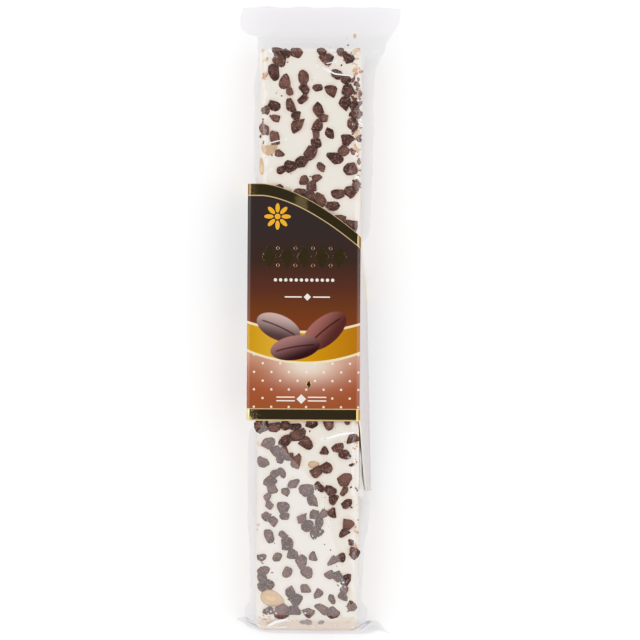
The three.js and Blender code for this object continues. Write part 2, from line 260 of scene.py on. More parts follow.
def ramp(value, stops):
    low, high = stops[0][0], stops[-1][0]
    spread = value.id_data.nodes.new("ShaderNodeMapRange")
    feed(value, spread.inputs["Value"])
    spread.inputs["From Min"].default_value = low
    spread.inputs["From Max"].default_value = high
    node = value.id_data.nodes.new("ShaderNodeValToRGB")
    feed(spread.outputs["Result"], node.inputs["Fac"])
    while len(node.color_ramp.elements) < len(stops):
        node.color_ramp.elements.new(0.5)
    for element, (place, color) in zip(node.color_ramp.elements, stops):
        element.position = (place - low) / (high - low)
        element.color = color
    return node.outputs["Color"]


def split(vector):
    node = vector.id_data.nodes.new("ShaderNodeSeparateXYZ")
    feed(vector, node.inputs["Vector"])
    return node.outputs


def coordinates(tree, kind):
    return tree.nodes.new("ShaderNodeTexCoord").outputs[kind]


def field(tree, name):
    node = tree.nodes.new("ShaderNodeAttribute")
    node.attribute_name = name
    return node.outputs["Fac"]


def newMaterial(name, **values):
    material = bpy.data.materials.new(name)
    material.use_nodes = True
    shader = material.node_tree.nodes["Principled BSDF"]
    for key, value in values.items():
        shader.inputs[key.replace("_", " ")].default_value = value
    return material, material.node_tree, shader


def addBump(shader, height, strength, distance):
    bump = shader.id_data.nodes.new("ShaderNodeBump")
    bump.inputs["Strength"].default_value = strength
    bump.inputs["Distance"].default_value = distance
    feed(height, bump.inputs["Height"])
    feed(bump.outputs["Normal"], shader.inputs["Normal"])


def newGroup(name, inputs, outputs):
    group = bpy.data.node_groups.new(name, "ShaderNodeTree")
    for names, way in ((inputs, "INPUT"), (outputs, "OUTPUT")):
        for socketName in names:
            group.interface.new_socket(socketName, in_out=way, socket_type="NodeSocketFloat")
    return group, group.nodes.new("NodeGroupInput").outputs, group.nodes.new("NodeGroupOutput").inputs


def useGroup(tree, group, values):
    node = tree.nodes.new("ShaderNodeGroup")
    node.node_tree = group
    for name, value in values.items():
        feed(value, node.inputs[name])
    return node.outputs


# Clouds and grain on object coordinates, used by every finish with its own sizes
def makeGrainGroup():
    group, start, end = newGroup("surfaceGrain", ("Cloud Size", "Grain Size", "Grain Share"),
                                 ("Cloud", "Grain", "Height"))
    place = coordinates(group, "Object")
    fields = []
    for name, detail in (("Cloud Size", 2), ("Grain Size", 4)):
        texture = group.nodes.new("ShaderNodeTexNoise")
        texture.inputs["Detail"].default_value = detail
        feed(place, texture.inputs["Vector"])
        feed(calc("DIVIDE", 1, start[name]), texture.inputs["Scale"])
        fields.append(texture.outputs["Fac"])
    cloud, grain = fields
    share = start["Grain Share"]
    feed(cloud, end["Cloud"])
    feed(grain, end["Grain"])
    feed(add(mul(grain, share), mul(cloud, sub(1, share))), end["Height"])
    return group


grainGroup = makeGrainGroup()


def addGrain(tree, cloudSize, grainSize, grainShare=0.5):
    return useGroup(tree, grainGroup, {"Cloud Size": cloudSize * mm, "Grain Size": grainSize * mm,
                                       "Grain Share": grainShare})


# The card sleeve's form, which also says how far the chips are laid
sleeve = {
    "thickness": 0.45, "height": 18.9, "left": -21.0, "right": 17.25, "backWidth": 38.9,
    "backShift": 20.3, "backTwist": -0.028, "foldReach": 1.3, "top": 50.0, "bottom": -29.8,
    "curveStart": 4.8, "curveScale": 0.064, "curvePower": 1.6, "tabDrop": 23.9, "tabShare": 0.62,
    "borderWidth": 4.0,
}
frontWidth = sleeve["right"] - sleeve["left"]
sideLength = frontWidth + sleeve["height"]
backLength = sideLength + sleeve["backWidth"]


def sleeveDrop(distance):
    return sleeve["curveScale"] * max(distance - sleeve["curveStart"], 0) ** sleeve["curvePower"]


def upperEdge(distance):
    if distance <= sideLength:
        return sleeve["top"] - sleeveDrop(distance)
    back = (distance - sideLength) / sleeve["backWidth"]
    return sleeve["top"] - sleeveDrop(sideLength) * (1 - smoothStep(back))


def lowerEdge(distance):
    if distance <= sideLength:
        drop = smoothStep((distance - frontWidth) / (sleeve["height"] * sleeve["tabShare"]))
    else:
        drop = 1 - smoothStep((distance - sideLength) / sleeve["backWidth"])
    return sleeve["bottom"] - sleeve["tabDrop"] * drop


cameraValues = {"height": 1.3, "frameWidth": 0.2154, "focusHeight": 0.0172, "x": 0.00052,
                "y": 0.00086, "roll": 0.4, "sensor": 36, "nearest": 0.01, "furthest": 50}
bpy.ops.object.camera_add(location=(cameraValues["x"], cameraValues["y"], cameraValues["height"]),
                          rotation=(0, 0, math.radians(cameraValues["roll"])))
camera = bpy.context.object
camera.name = "overheadCamera"
camera.data.sensor_width = cameraValues["sensor"]
camera.data.lens = (cameraValues["sensor"] * (cameraValues["height"] - cameraValues["focusHeight"])
                    / cameraValues["frameWidth"])
camera.data.clip_start = cameraValues["nearest"]
camera.data.clip_end = cameraValues["furthest"]
bpy.context.scene.camera = camera
print("camera set")

studio = {
    "floorSize": 8, "floorColor": (0.95, 0.95, 0.955, 1),
    "white": 1.25, "tones": [(0.4, 0.4), (0.76, 0.76), (0.95, 0.845), (1.1, 0.93)],
    "zenith": 0.04, "horizon": 1.3, "openFrom": 0.84, "darkFrom": 0.965,
    # name, place, width, height, brightness
    "lamps": [("leftLamp", (-0.85, 0.12, 1.2), 0.8, 1.2, 2.2),
              ("rightLamp", (0.85, 0.08, 1.2), 0.8, 1.2, 1.8)],
}
bpy.ops.mesh.primitive_plane_add(size=studio["floorSize"], location=(0, 0, 0))
floor = settle(named("paleTable"))
floorMaterial, tree, shader = newMaterial("paleTableTop", Roughness=0.75, Base_Color=studio["floorColor"],
                                          Specular_IOR_Level=0.1)
addBump(shader, addGrain(tree, 60, 2)["Height"], 0.02, 0.0002)
floor.data.materials.append(floorMaterial)

for name, place, width, height, brightness in studio["lamps"]:
    bpy.ops.object.light_add(type="AREA", location=place)
    lamp = bpy.context.object
    lamp.name = name
    lamp.data.shape = "RECTANGLE"
    lamp.data.size = width
    lamp.data.size_y = height
    lamp.data.energy = brightness * math.pi * width * height
    lamp.rotation_euler = (-Vector(place)).to_track_quat("-Z", "Y").to_euler()

# The air is dark straight above, so that the film mirrors little of it, and bright lower down
world = bpy.data.worlds.new("studioAir")
bpy.context.scene.world = world
world.use_nodes = True
up = split(coordinates(world.node_tree, "Generated"))["Z"]
airColor = mixColor(ease(up, studio["darkFrom"], studio["openFrom"]),
                    (studio["zenith"],) * 3 + (1,), (studio["horizon"],) * 3 + (1,))
feed(airColor, world.node_tree.nodes["Background"].inputs["Color"])

# A print-like tone curve keeps the nougat and the film's highlights apart from the white table
look = bpy.context.scene.view_settings
look.view_transform = "Standard"
look.use_curve_mapping = True
look.curve_mapping.white_level = (studio["white"],) * 3
for light, shown in studio["tones"]:
    look.curve_mapping.curves[3].points.new(light / studio["white"], shown)
look.curve_mapping.update()
print("table and lamps set")


# Touching chips lie along bent runs, whose bends are given across and along the bar,
# and loose chips are scattered between them
upperChips = {
    "seed": 34550597, "loose": 27, "start": 94.6, "end": 36.0,
    "runs": [
        [(-11.8, 94.4), (-3.4, 94.0)],
        [(-10.5, 91.6), (-12.9, 86.7)],
        [(-2.0, 85.9), (-2.2, 77.4)],
        [(-6.8, 76.0), (-4.3, 72.7), (-4.5, 68.9)],
        [(2.6, 74.7), (5.2, 72.7), (1.2, 68.7), (2.3, 64.6), (-1.0, 57.9), (-11.3, 53.8)],
        [(12.9, 81.2), (10.9, 77.6), (14.9, 77.2), (15.5, 73.7), (13.6, 71.9), (14.4, 68.0)],
        [(3.7, 94.5), (4.5, 91.6), (8.4, 89.6)],
        [(3.5, 55.1), (1.1, 50.2)],
        [(-3.3, 47.0), (5.4, 43.7), (9.8, 39.9)],
    ],
}
lowerChips = {
    "seed": 127487981, "loose": 42, "start": -28.3, "end": -94.6,
    "runs": [
        [(-15.5, -31.6), (-4.1, -31.6), (-3.8, -35.5), (2.3, -38.2)],
        [(-7.7, -36.0), (-7.6, -41.8), (-1.8, -44.5)],
        [(6.4, -45.1), (-1.3, -48.4)],
        [(-8.6, -46.7), (-13.6, -49.1), (-10.7, -52.2), (-13.8, -53.9)],
        [(-0.3, -53.0), (0.7, -55.9), (3.1, -58.1)],
        [(4.1, -52.2), (7.7, -53.2), (9.4, -58.1)],
        [(-8.0, -58.8), (-6.6, -61.7), (-10.6, -62.8)],
        [(-1.7, -62.2), (2.0, -69.0), (5.4, -61.7)],
        [(-7.9, -67.8), (-6.7, -71.2), (-4.7, -75.5)],
        [(-13.9, -79.9), (-15.5, -83.5), (-14.6, -86.4), (-11.3, -84.2)],
        [(7.2, -81.6), (13.7, -82.3), (13.3, -85.9), (10.9, -90.3)],
        [(-5.7, -87.2), (-3.5, -90.8), (-4.4, -94.2), (-14.9, -93.4)],
    ],
}
chipValues = {
    "smallest": 1.5, "sizeSpread": 1.05, "stretch": 0.55, "step": 1.86, "wander": 0.8,
    "reach": 15.6, "underSleeve": 1.5, "clusterChance": 0.35, "clusterReach": 0.93,
    "clusterRoom": 0.8, "looseRoom": 1.12, "tries": 4000,
    "middle": 16.95, "halfHeight": 0.98, "spread": 1.23,
}
almondOnTop = {"x": -11.6, "y": -89.7, "turn": -0.35, "clearAcross": 6.4, "clearAlong": 4.4}


# Where the chips lie: the same draws as for the solids
def newChip(draw):
    return {"size": chipValues["smallest"] + chipValues["sizeSpread"] * draw(),
            "stretch": 1 + chipValues["stretch"] * draw(), "turn": math.pi * draw()}


# The point of a bent run that lies this far from its start, or None past its end
def pointOnRun(run, distance):
    for (startX, startY), (endX, endY) in zip(run, run[1:]):
        length = math.hypot(endX - startX, endY - startY)
        if distance <= length:
            return mix(startX, endX, distance / length), mix(startY, endY, distance / length)
        distance -= length
    return None


def layRun(draw, run):
    chips = []
    gone = 0
    point = pointOnRun(run, gone)
    while point:
        chip = newChip(draw)
        aside = chipValues["wander"] * (draw() - 0.5)
        chip["x"] = min(max(point[0] + aside, -chipValues["reach"]), chipValues["reach"])
        chip["y"] = point[1] + aside
        chips.append(chip)
        gone += chipValues["step"] * chip["size"]
        point = pointOnRun(run, gone)
    return chips


def layChips(place, isInside):
    draw = drawsFrom(place["seed"])
    chips = [chip for run in place["runs"] for chip in layRun(draw, run)]
    wanted = len(chips) + place["loose"]
    last = None
    for attempt in range(chipValues["tries"]):
        if len(chips) >= wanted:
            break
        chip = newChip(draw)
        joined = draw() < chipValues["clusterChance"] and last is not None
        first, second = draw(), draw()
        chip["x"] = (2 * first - 1) * chipValues["reach"]
        chip["y"] = place["start"] - second * (place["start"] - place["end"])
        if joined:
            reach = chipValues["clusterReach"] * (last["size"] + chip["size"])
            chip["x"] = last["x"] + reach * math.cos(2 * math.pi * first)
            chip["y"] = last["y"] + reach * math.sin(2 * math.pi * first)
        room = chipValues["clusterRoom"] if joined else chipValues["looseRoom"]
        clear = all(math.hypot(other["x"] - chip["x"], other["y"] - chip["y"])
                    > room * (other["size"] + chip["size"]) for other in chips)
        if abs(chip["x"]) <= chipValues["reach"] and clear and isInside(chip["x"], chip["y"]):
            chips.append(chip)
            last = chip
        elif joined:
            last = None
    return chips


def isUpper(x, y):
    edge = sleeve["top"] - sleeveDrop(x - sleeve["left"])
    return upperChips["start"] > y > edge - chipValues["underSleeve"]


def isLower(x, y):
    away = math.hypot((x - almondOnTop["x"]) / almondOnTop["clearAcross"],
                      (y - almondOnTop["y"]) / almondOnTop["clearAlong"])
    return lowerChips["end"] < y < sleeve["bottom"] + chipValues["underSleeve"] and away >= 1


chips = layChips(upperChips, isUpper) + layChips(lowerChips, isLower)
print("chips laid out:", len(chips), "sum", round(sum(chip["x"] + chip["y"] for chip in chips), 4))

# The nougat bar, cut straight at its upper end and slanting at its foot
nougat = {
    "halfWidth": 17.15, "low": 1.0, "high": 17.0, "topEnd": 95.7, "footEnd": -102.0,
    "slantTop": -94.9, "bevel": 1.7, "voxel": 0.75,
    "skinFrom": 14.5, "skinDepth": 2, "sideFrom": 14, "rough": 0.03, "swell": 0.16, "pits": 0.1,
    "waves": (0.13, 0.1, 3.1), "coarse": 0.35, "fine": 0.9, "fineShare": 0.6,
    "smearAndShadeFrom": 14, "smearAndShadeReach": 1.0,
}
nougatFinish = {
    "skin": [(0.3, (0.83, 0.765, 0.64, 1)), (0.5, (0.86, 0.76, 0.66, 1)), (0.7, (0.88, 0.75, 0.665, 1))],
    "grain": (9, 0.7, 0.35), "bump": (0.35, 0.0004),
    "edge": (0.72, 0.53, 0.38, 1), "edgeTanAndShadeShare": 0.45, "edgeFrom": (0.0162, 0.0186), "edgeWander": 0.002,
    "end": (0.60, 0.43, 0.315, 1), "endTanAndShadeShare": 0.95, "endFrom": (-0.0938, -0.0966), "endWander": 0.003,
    "smearAndShade": (0.58, 0.44, 0.34, 1), "smearAndShadeShare": 0.32,
    "speck": (0.66, 0.52, 0.38, 1), "speckShare": 0.22, "speckScale": 260, "specks": (0.16, 0.08),
}
barLength = nougat["topEnd"] - nougat["footEnd"]
barHeight = nougat["high"] - nougat["low"]
slantNormal = Vector((0, -barHeight, nougat["slantTop"] - nougat["footEnd"])).normalized()


def makeNougatBar():
    middle = packPoint(0, nougat["footEnd"] + barLength / 2, nougat["low"] + barHeight / 2)
    deselectAll()
    bpy.ops.mesh.primitive_cube_add(size=1, location=middle)
    bar = named("nougatBar")
    bar.scale = (nougat["halfWidth"] * 2 * mm, barLength * mm, barHeight * mm)
    settle(bar)
    bpy.ops.object.mode_set(mode="EDIT")
    bpy.ops.mesh.select_mode(type="EDGE")
    bpy.ops.mesh.select_all(action="SELECT")
    bpy.ops.mesh.bisect(plane_co=packPoint(0, nougat["slantTop"], nougat["high"]),
                        plane_no=slantNormal, use_fill=True, clear_outer=True)
    bpy.ops.mesh.select_all(action="SELECT")
    bpy.ops.mesh.bevel(offset=nougat["bevel"] * mm, segments=4, affect="EDGES", clamp_overlap=True)
    bpy.ops.object.mode_set(mode="OBJECT")
    remesh = bar.modifiers.new("evenSkin", "REMESH")
    remesh.mode = "VOXEL"
    remesh.voxel_size = nougat["voxel"] * mm
    bpy.ops.object.modifier_apply(modifier=remesh.name)
    return bar


# The top is wavy where it was rolled, and the cut sides are rough
def roughen(bar):
    acrossBar, alongBar, layer = nougat["waves"]
    for vertex in bar.data.vertices:
        place = (vertex.co - shift) / mm
        wave = noise.noise(Vector((place.x * acrossBar, place.y * alongBar, layer)))
        rough = (noise.noise(place * nougat["fine"]) * nougat["fineShare"]
                 + noise.noise(place * nougat["coarse"]))
        top = smoothStep((place.z - nougat["skinFrom"]) / nougat["skinDepth"])
        vertex.co.z += (wave * nougat["swell"] + rough * nougat["rough"]) * top * mm
        if abs(place.x) > nougat["sideFrom"]:
            vertex.co.x -= math.copysign(1, place.x) * nougat["pits"] * abs(rough) * (1 - top) * mm


# Round each chip the nougat is darker: partly smeared chocolate, partly painted shade from the chip
def smearAndShadeNougat(bar):
    places = np.empty(len(bar.data.vertices) * 3, np.float32)
    bar.data.vertices.foreach_get("co", places)
    places = (places.reshape(-1, 3) - np.array(shift)) / mm
    smearAndShade = np.zeros(len(places))
    for chip in chips:
        away = np.hypot(places[:, 0] - chip["x"], places[:, 1] - chip["y"]) - chip["size"]
        smearAndShade = np.maximum(smearAndShade, 1 - np.clip(away / nougat["smearAndShadeReach"], 0, 1))
    setField(bar, "smearAndShade", smearAndShade * (places[:, 2] > nougat["smearAndShadeFrom"]))


def makeNougatMaterial():
    finish = nougatFinish
    material, tree, shader = newMaterial("creamNougat", Roughness=0.55, Subsurface_Weight=0.25,
                                         Subsurface_Radius=(1.0, 0.85, 0.7), Subsurface_Scale=0.0012)
    grain = addGrain(tree, *finish["grain"])
    color = ramp(grain["Cloud"], finish["skin"])
    # The skin of the bar is tanner and darker along its edges and over its cut ends: partly its own toasted
    # tone, partly painted shade
    parts = split(coordinates(tree, "Object"))
    edge = add(absolute(sub(parts["X"], shift.x)), mul(grain["Cloud"], finish["edgeWander"]))
    end = add(sub(parts["Y"], shift.y), mul(grain["Cloud"], finish["endWander"]))
    color = mixColor(mul(ease(edge, *finish["edgeFrom"]), finish["edgeTanAndShadeShare"]), color, finish["edge"])
    color = mixColor(mul(ease(end, *finish["endFrom"]), finish["endTanAndShadeShare"]), color, finish["end"])
    # Smeared chocolate and painted shade darken the nougat round each chip
    color = mixColor(mul(field(tree, "smearAndShade"), finish["smearAndShadeShare"]), color, finish["smearAndShade"])
    specks = tree.nodes.new("ShaderNodeTexVoronoi")
    specks.inputs["Scale"].default_value = finish["speckScale"]
    feed(coordinates(tree, "Object"), specks.inputs["Vector"])
    speckMask = mul(ease(specks.outputs["Distance"], *finish["specks"]), finish["speckShare"])
    feed(mixColor(speckMask, color, finish["speck"]), shader.inputs["Base Color"])
    addBump(shader, grain["Height"], *finish["bump"])
    return material


bar = makeNougatBar()
roughen(bar)
smoothed(bar)
smearAndShadeNougat(bar)
bar.data.materials.append(makeNougatMaterial())
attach(bar, "root")
print("nougat bar:", len(bar.data.polygons), "faces")

# Chocolate chips
lumpValues = {
    "planes": 9, "depth": 0.48, "shallowest": 0.35, "unevenFrom": 0.94, "uneven": 0.12,
    "polar": (26, 108), "pressed": 0.96, "toneChange": 0.6, "taper": 0.1, "taperSpread": 0.3,
    "lean": 9, "flattest": 0.8, "tallest": 0.97, "rimFrom": 0.1, "sideShadeRun": 0.6, "contactShade": 0.6,
    "near": 1.1, "gap": 0.06, "pull": 0.6, "contact": 0.65, "cutEnd": 95.9,
}


# Rough lumps: a ball cut back by a few slanting planes, so that facets are left.
# Gives each vertex the tone of the facet it lies on
def cutLump(mesh, draw, planes, depth):
    for vertex in mesh.vertices:
        vertex.co *= lumpValues["unevenFrom"] + lumpValues["uneven"] * draw()
    ground = draw()
    tones = [ground] * len(mesh.vertices)
    for plane in range(planes):
        polar = math.radians(mix(*lumpValues["polar"], draw()))
        turn = 2 * math.pi * draw()
        normal = Vector((math.sin(polar) * math.cos(turn), math.sin(polar) * math.sin(turn), math.cos(polar)))
        reach = 1 - depth * mix(lumpValues["shallowest"], 1, draw())
        facetTone = mix(ground, draw(), lumpValues["toneChange"])
        for i, vertex in enumerate(mesh.vertices):
            over = vertex.co.dot(normal) - reach
            if over > 0:
                vertex.co -= normal * over * lumpValues["pressed"]
                tones[i] = facetTone
    return tones


# Touching chips press flat against each other, with a thin gap between them, and their touching faces get
# painted shade as a dark line
def partFromNeighbours(mesh, chip, sideShades):
    for other in chips:
        dx, dy = other["x"] - chip["x"], other["y"] - chip["y"]
        distance = math.hypot(dx, dy)
        if other is chip or distance > lumpValues["near"] * (chip["size"] + other["size"]):
            continue
        away = Vector((dx / distance, dy / distance, 0))
        aside = away.cross(Vector((0, 0, 1)))
        limit = distance * chip["size"] / (chip["size"] + other["size"]) - lumpValues["gap"] / 2
        close = lumpValues["pull"] * chip["size"]
        contact = lumpValues["contact"] * chip["size"]
        for i, vertex in enumerate(mesh.vertices):
            over = vertex.co.dot(away) - limit
            if over > 0 or over > -close and abs(vertex.co.dot(aside)) < contact:
                vertex.co -= away * over
                # painted shade on the touching faces
                sideShades[i] = max(sideShades[i], lumpValues["contactShade"])


def makeChip(ball, chip, draw):
    piece = ball.copy()
    piece.data = ball.data.copy()
    bpy.context.collection.objects.link(piece)
    setField(piece, "tone", cutLump(piece.data, draw, lumpValues["planes"], lumpValues["depth"]))
    taper = lumpValues["taper"] + lumpValues["taperSpread"] * draw()
    # Painted shade: each chip is darker towards its foot
    sideShades = [1 - smoothStep((vertex.co.z - lumpValues["rimFrom"]) / lumpValues["sideShadeRun"])
            for vertex in piece.data.vertices]
    for vertex in piece.data.vertices:
        vertex.co.y *= 1 - taper * vertex.co.x
    root = math.sqrt(chip["stretch"])
    tall = chipValues["halfHeight"] * mix(lumpValues["flattest"], lumpValues["tallest"], draw())
    wide = chip["size"] * chipValues["spread"]
    moveMesh(piece, Matrix.Diagonal((wide * root, wide / root, tall, 1)))
    for axis in "XY":
        moveMesh(piece, Matrix.Rotation(math.radians(lumpValues["lean"] * (2 * draw() - 1)), 4, axis))
    moveMesh(piece, Matrix.Rotation(chip["turn"], 4, "Z"))
    partFromNeighbours(piece.data, chip, sideShades)
    setField(piece, "rim", sideShades)
    moveMesh(piece, Matrix.Translation((chip["x"], chip["y"], chipValues["middle"])))
    # The bar is cut off at its upper end, and the chips with it
    for vertex in piece.data.vertices:
        vertex.co.y = min(vertex.co.y, lumpValues["cutEnd"])
    moveMesh(piece, *toFrame)
    return piece


chocolateFinish = {
    "dark": [(0.32, (0.030, 0.007, 0.004, 1)), (0.52, (0.050, 0.014, 0.009, 1)),
             (0.7, (0.085, 0.030, 0.021, 1))],
    "grain": (4.5, 0.5, 0.6), "bump": (0.8, 0.0005), "roughness": (0.2, 0.42),
    "facet": (0.185, 0.082, 0.062, 1), "facetShare": 0.9, "facetTones": (0.25, 0.85),
    "side": (0.012, 0.004, 0.003, 1), "sideShadeShare": 0.75,
    "bloomAndGlint": (0.34, 0.20, 0.17, 1), "bloomAndGlintShare": 0.7, "scuffs": (0.55, 0.64),
}


def makeChocolateMaterial():
    finish = chocolateFinish
    material, tree, shader = newMaterial("darkChocolate", Roughness=0.42, Specular_IOR_Level=0.32,
                                         Specular_Tint=(1.0, 0.72, 0.62, 1))
    grain = addGrain(tree, *finish["grain"])
    color = ramp(grain["Cloud"], finish["dark"])
    paler = mul(ease(field(tree, "tone"), *finish["facetTones"]), finish["facetShare"])
    color = mixColor(paler, color, finish["facet"])
    # Painted shade darkens the sides of a chip and the faces where it touches others; its paler specks are
    # partly sugar bloom, partly painted glints
    color = mixColor(mul(field(tree, "rim"), finish["sideShadeShare"]), color, finish["side"])
    # Paler specks: partly sugar bloom, partly painted glints
    scuffs = mul(ease(grain["Grain"], *finish["scuffs"]), finish["bloomAndGlintShare"])
    feed(mixColor(scuffs, color, finish["bloomAndGlint"]), shader.inputs["Base Color"])
    rough = tree.nodes.new("ShaderNodeMapRange")
    feed(grain["Grain"], rough.inputs["Value"])
    rough.inputs["To Min"].default_value, rough.inputs["To Max"].default_value = finish["roughness"]
    feed(rough.outputs["Result"], shader.inputs["Roughness"])
    addBump(shader, grain["Height"], *finish["bump"])
    return material


deselectAll()
bpy.ops.mesh.primitive_ico_sphere_add(subdivisions=2, radius=1)
ball = named("chipBall")
chipDraw = drawsFrom(77003)
chocolateChips = joinPieces([makeChip(ball, chip, chipDraw) for chip in chips], "chocolateChips")
bpy.data.objects.remove(ball)
smoothed(chocolateChips, 12)
chocolateMaterial = makeChocolateMaterial()
chocolateChips.data.materials.append(chocolateMaterial)
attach(chocolateChips, "root")
print("chocolate chips:", len(chocolateChips.data.polygons), "faces")

# Almonds: place x, y, z; half sizes along, across, deep; turn about Z, lean; share left of a broken one
almondList = [
    (almondOnTop["x"], almondOnTop["y"], 16.9, 4.3, 2.7, 1.1, almondOnTop["turn"], 0.0, 1),
    (-13.6, 62.6, 16.7, 2.9, 3.4, 0.8, 0.12, 0.0, 0.1),
    (-16.2, 57.3, 16.3, 4.6, 0.8, 0.8, 1.55, 0.3, 1),
    (1.9, -44.4, 17.0, 1.9, 1.1, 0.7, 0.1, 0.0, 1),
]
almondValues = {
    "taper": 0.24, "seed": 5501, "count": 9, "x": 16.9, "from": 88, "to": -88, "start": 0.25, "wander": 0.5,
    "z": 4.5, "zSpread": 6.5, "length": 3.2, "lengthSpread": 1.8, "width": 1.7, "widthSpread": 0.8,
    "depth": 0.45,
}


# Cut almonds show in both sides of the bar, turned to lie in its skin
def addSideAlmonds(values):
    draw = drawsFrom(values["seed"])
    for side in (-1, 1):
        for step in range(values["count"]):
            share = (step + values["start"] + values["wander"] * draw()) / values["count"]
            y = mix(values["from"], values["to"], share)
            z = values["z"] + values["zSpread"] * draw()
            almondList.append((side * values["x"], y, z, values["length"] + values["lengthSpread"] * draw(),
                               values["width"] + values["widthSpread"] * draw(), values["depth"],
                               math.pi / 2, side * math.pi / 2, 1))


def makeAlmond(x, y, z, long, wide, deep, turn, lean, left):
    deselectAll()
    bpy.ops.mesh.primitive_uv_sphere_add(segments=22, ring_count=12, radius=1)
    piece = bpy.context.object
    setField(piece, "skin", [math.hypot(vertex.co.x, vertex.co.y) for vertex in piece.data.vertices])
    for vertex in piece.data.vertices:
        vertex.co.y = min(vertex.co.y, left) * (1 - almondValues["taper"] * vertex.co.x)
    leanAxis = "X" if abs(lean) > 1 else "Y"
    moveMesh(piece, Matrix.Diagonal((long, wide, deep, 1)), Matrix.Rotation(lean, 4, leanAxis),
             Matrix.Rotation(turn, 4, "Z"), Matrix.Translation((x, y, z)), *toFrame)
    return piece


almondFinish = {
    "flesh": [(0.3, (0.50, 0.335, 0.20, 1)), (0.55, (0.56, 0.39, 0.24, 1)), (0.75, (0.60, 0.44, 0.29, 1))],
    "grain": (3, 0.35, 0.5), "bump": (0.4, 0.0003),
    "rim": (0.42, 0.22, 0.10, 1), "rimShare": 0.6, "rimFrom": (0.92, 1.12), "rimGrain": 0.2,
}


def makeAlmondMaterial():
    finish = almondFinish
    material, tree, shader = newMaterial("blanchedAlmond", Roughness=0.5)
    grain = addGrain(tree, *finish["grain"])
    rim = ease(add(field(tree, "skin"), mul(grain["Grain"], finish["rimGrain"])), *finish["rimFrom"])
    color = mixColor(mul(rim, finish["rimShare"]), ramp(grain["Cloud"], finish["flesh"]), finish["rim"])
    feed(color, shader.inputs["Base Color"])
    addBump(shader, grain["Height"], *finish["bump"])
    return material


addSideAlmonds(almondValues)
almonds = joinPieces([makeAlmond(*almond) for almond in almondList], "almonds")
smoothed(almonds)
almonds.data.materials.append(makeAlmondMaterial())
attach(almonds, "root")
print("almonds:", len(almondList))

# Crumbs gather in stretches: x from, to; y from, to; how many; smallest, biggest
nutCrumbs = [
    (14.2, 16.8, 86, 95.5, 14, 0.35, 1.2), (14.8, 16.9, 47, 82, 34, 0.3, 1.2),
    (15.0, 16.9, -46, -36, 7, 0.3, 1.0), (15.2, 16.9, -74, -62, 8, 0.3, 0.9),
    (-16.9, -15.8, -39.5, -37, 2, 0.3, 0.9), (-17.0, -16.0, -67, -64, 2, 0.3, 0.8),
    (-17.0, -12, -98.8, -95.4, 16, 0.3, 1.0), (10, 16, -98.6, -95.4, 16, 0.3, 1.0),
    (-8, -3, -98.4, -96.6, 4, 0.3, 0.9), (14.0, 15.8, 99.6, 101, 3, 0.35, 1.4),
    (11.6, 12.2, 99.4, 100, 1, 0.35, 0.7), (-16.8, -15.0, 84, 95.3, 8, 0.35, 1.2),
]
chocolateCrumbs = [
    (-15.5, 16, 52, 95, 22, 0.16, 0.5), (-15.5, 16, -95, -32, 34, 0.16, 0.5),
    (14.0, 16.8, 62, 86, 44, 0.35, 1.5), (14.2, 16.8, 46, 62, 20, 0.3, 1.4),
    (-16.8, -15.5, 62, 76, 12, 0.2, 0.9), (-16.8, -15.2, -82, -74, 8, 0.16, 1.1),
    (10, 14.5, 91, 95.0, 8, 0.16, 1.3), (2, 17, 92, 99, 5, 0.16, 0.45),
    (13.5, 16.6, -60, -38, 7, 0.16, 1.3), (13.8, 16.4, -80, -64, 6, 0.16, 1.3),
    (-9, -4, -97.6, -96.0, 5, 0.8, 1.6), (-1.6, 1.4, -98.2, -97.7, 2, 2.3, 3.0),
    (4.4, 5.0, -98.5, -98.0, 1, 1.7, 2.1), (13, 16.6, -96.5, -88, 6, 0.16, 1.2),
]
crumbValues = {"planes": 4, "depth": 0.6, "sizePower": 1.5, "flatness": 0.6, "deepest": 0.45,
               "longest": 0.6, "width": 0.8, "sealFrom": 96.4, "sealHeight": 8.1}


# Height of the bar's skin at a place, with its rounded edge and its slanted foot, or of the top seal
def skinHeight(x, y):
    if y > crumbValues["sealFrom"]:
        return crumbValues["sealHeight"]
    if y < nougat["slantTop"]:
        share = (nougat["slantTop"] - y) / (nougat["slantTop"] - nougat["footEnd"])
        return mix(nougat["high"], nougat["low"], share)
    past = max(abs(x) - (nougat["halfWidth"] - nougat["bevel"]), 0)
    return nougat["high"] - nougat["bevel"] + math.sqrt(max(nougat["bevel"] ** 2 - past ** 2, 0))


def makeCrumb(draw, edges, smallest, biggest):
    deselectAll()
    bpy.ops.mesh.primitive_ico_sphere_add(subdivisions=1, radius=1)
    piece = bpy.context.object
    setField(piece, "tone", cutLump(piece.data, draw, crumbValues["planes"], crumbValues["depth"]))
    reach = mix(smallest, biggest, draw() ** crumbValues["sizePower"])
    deep = min(reach * crumbValues["flatness"], crumbValues["deepest"])
    long = reach * (1 + crumbValues["longest"] * draw())
    moveMesh(piece, Matrix.Diagonal((long, reach * crumbValues["width"], deep, 1)),
             Matrix.Rotation(math.pi * draw(), 4, "Z"))
    x, y = mix(*edges[:2], draw()), mix(*edges[2:], draw())
    if y < nougat["slantTop"]:
        moveMesh(piece, Vector((0, 0, 1)).rotation_difference(slantNormal).to_matrix().to_4x4())
    moveMesh(piece, Matrix.Translation((x, y, skinHeight(x, y))), *toFrame)
    return piece


def makeCrumbs(stretches, name, seed):
    draw = drawsFrom(seed)
    pieces = []
    for *edges, count, smallest, biggest in stretches:
        pieces += [makeCrumb(draw, edges, smallest, biggest) for crumb in range(count)]
    crumbs = joinPieces(pieces, name)
    smoothed(crumbs, 40)
    print(name + ":", len(pieces))
    return crumbs


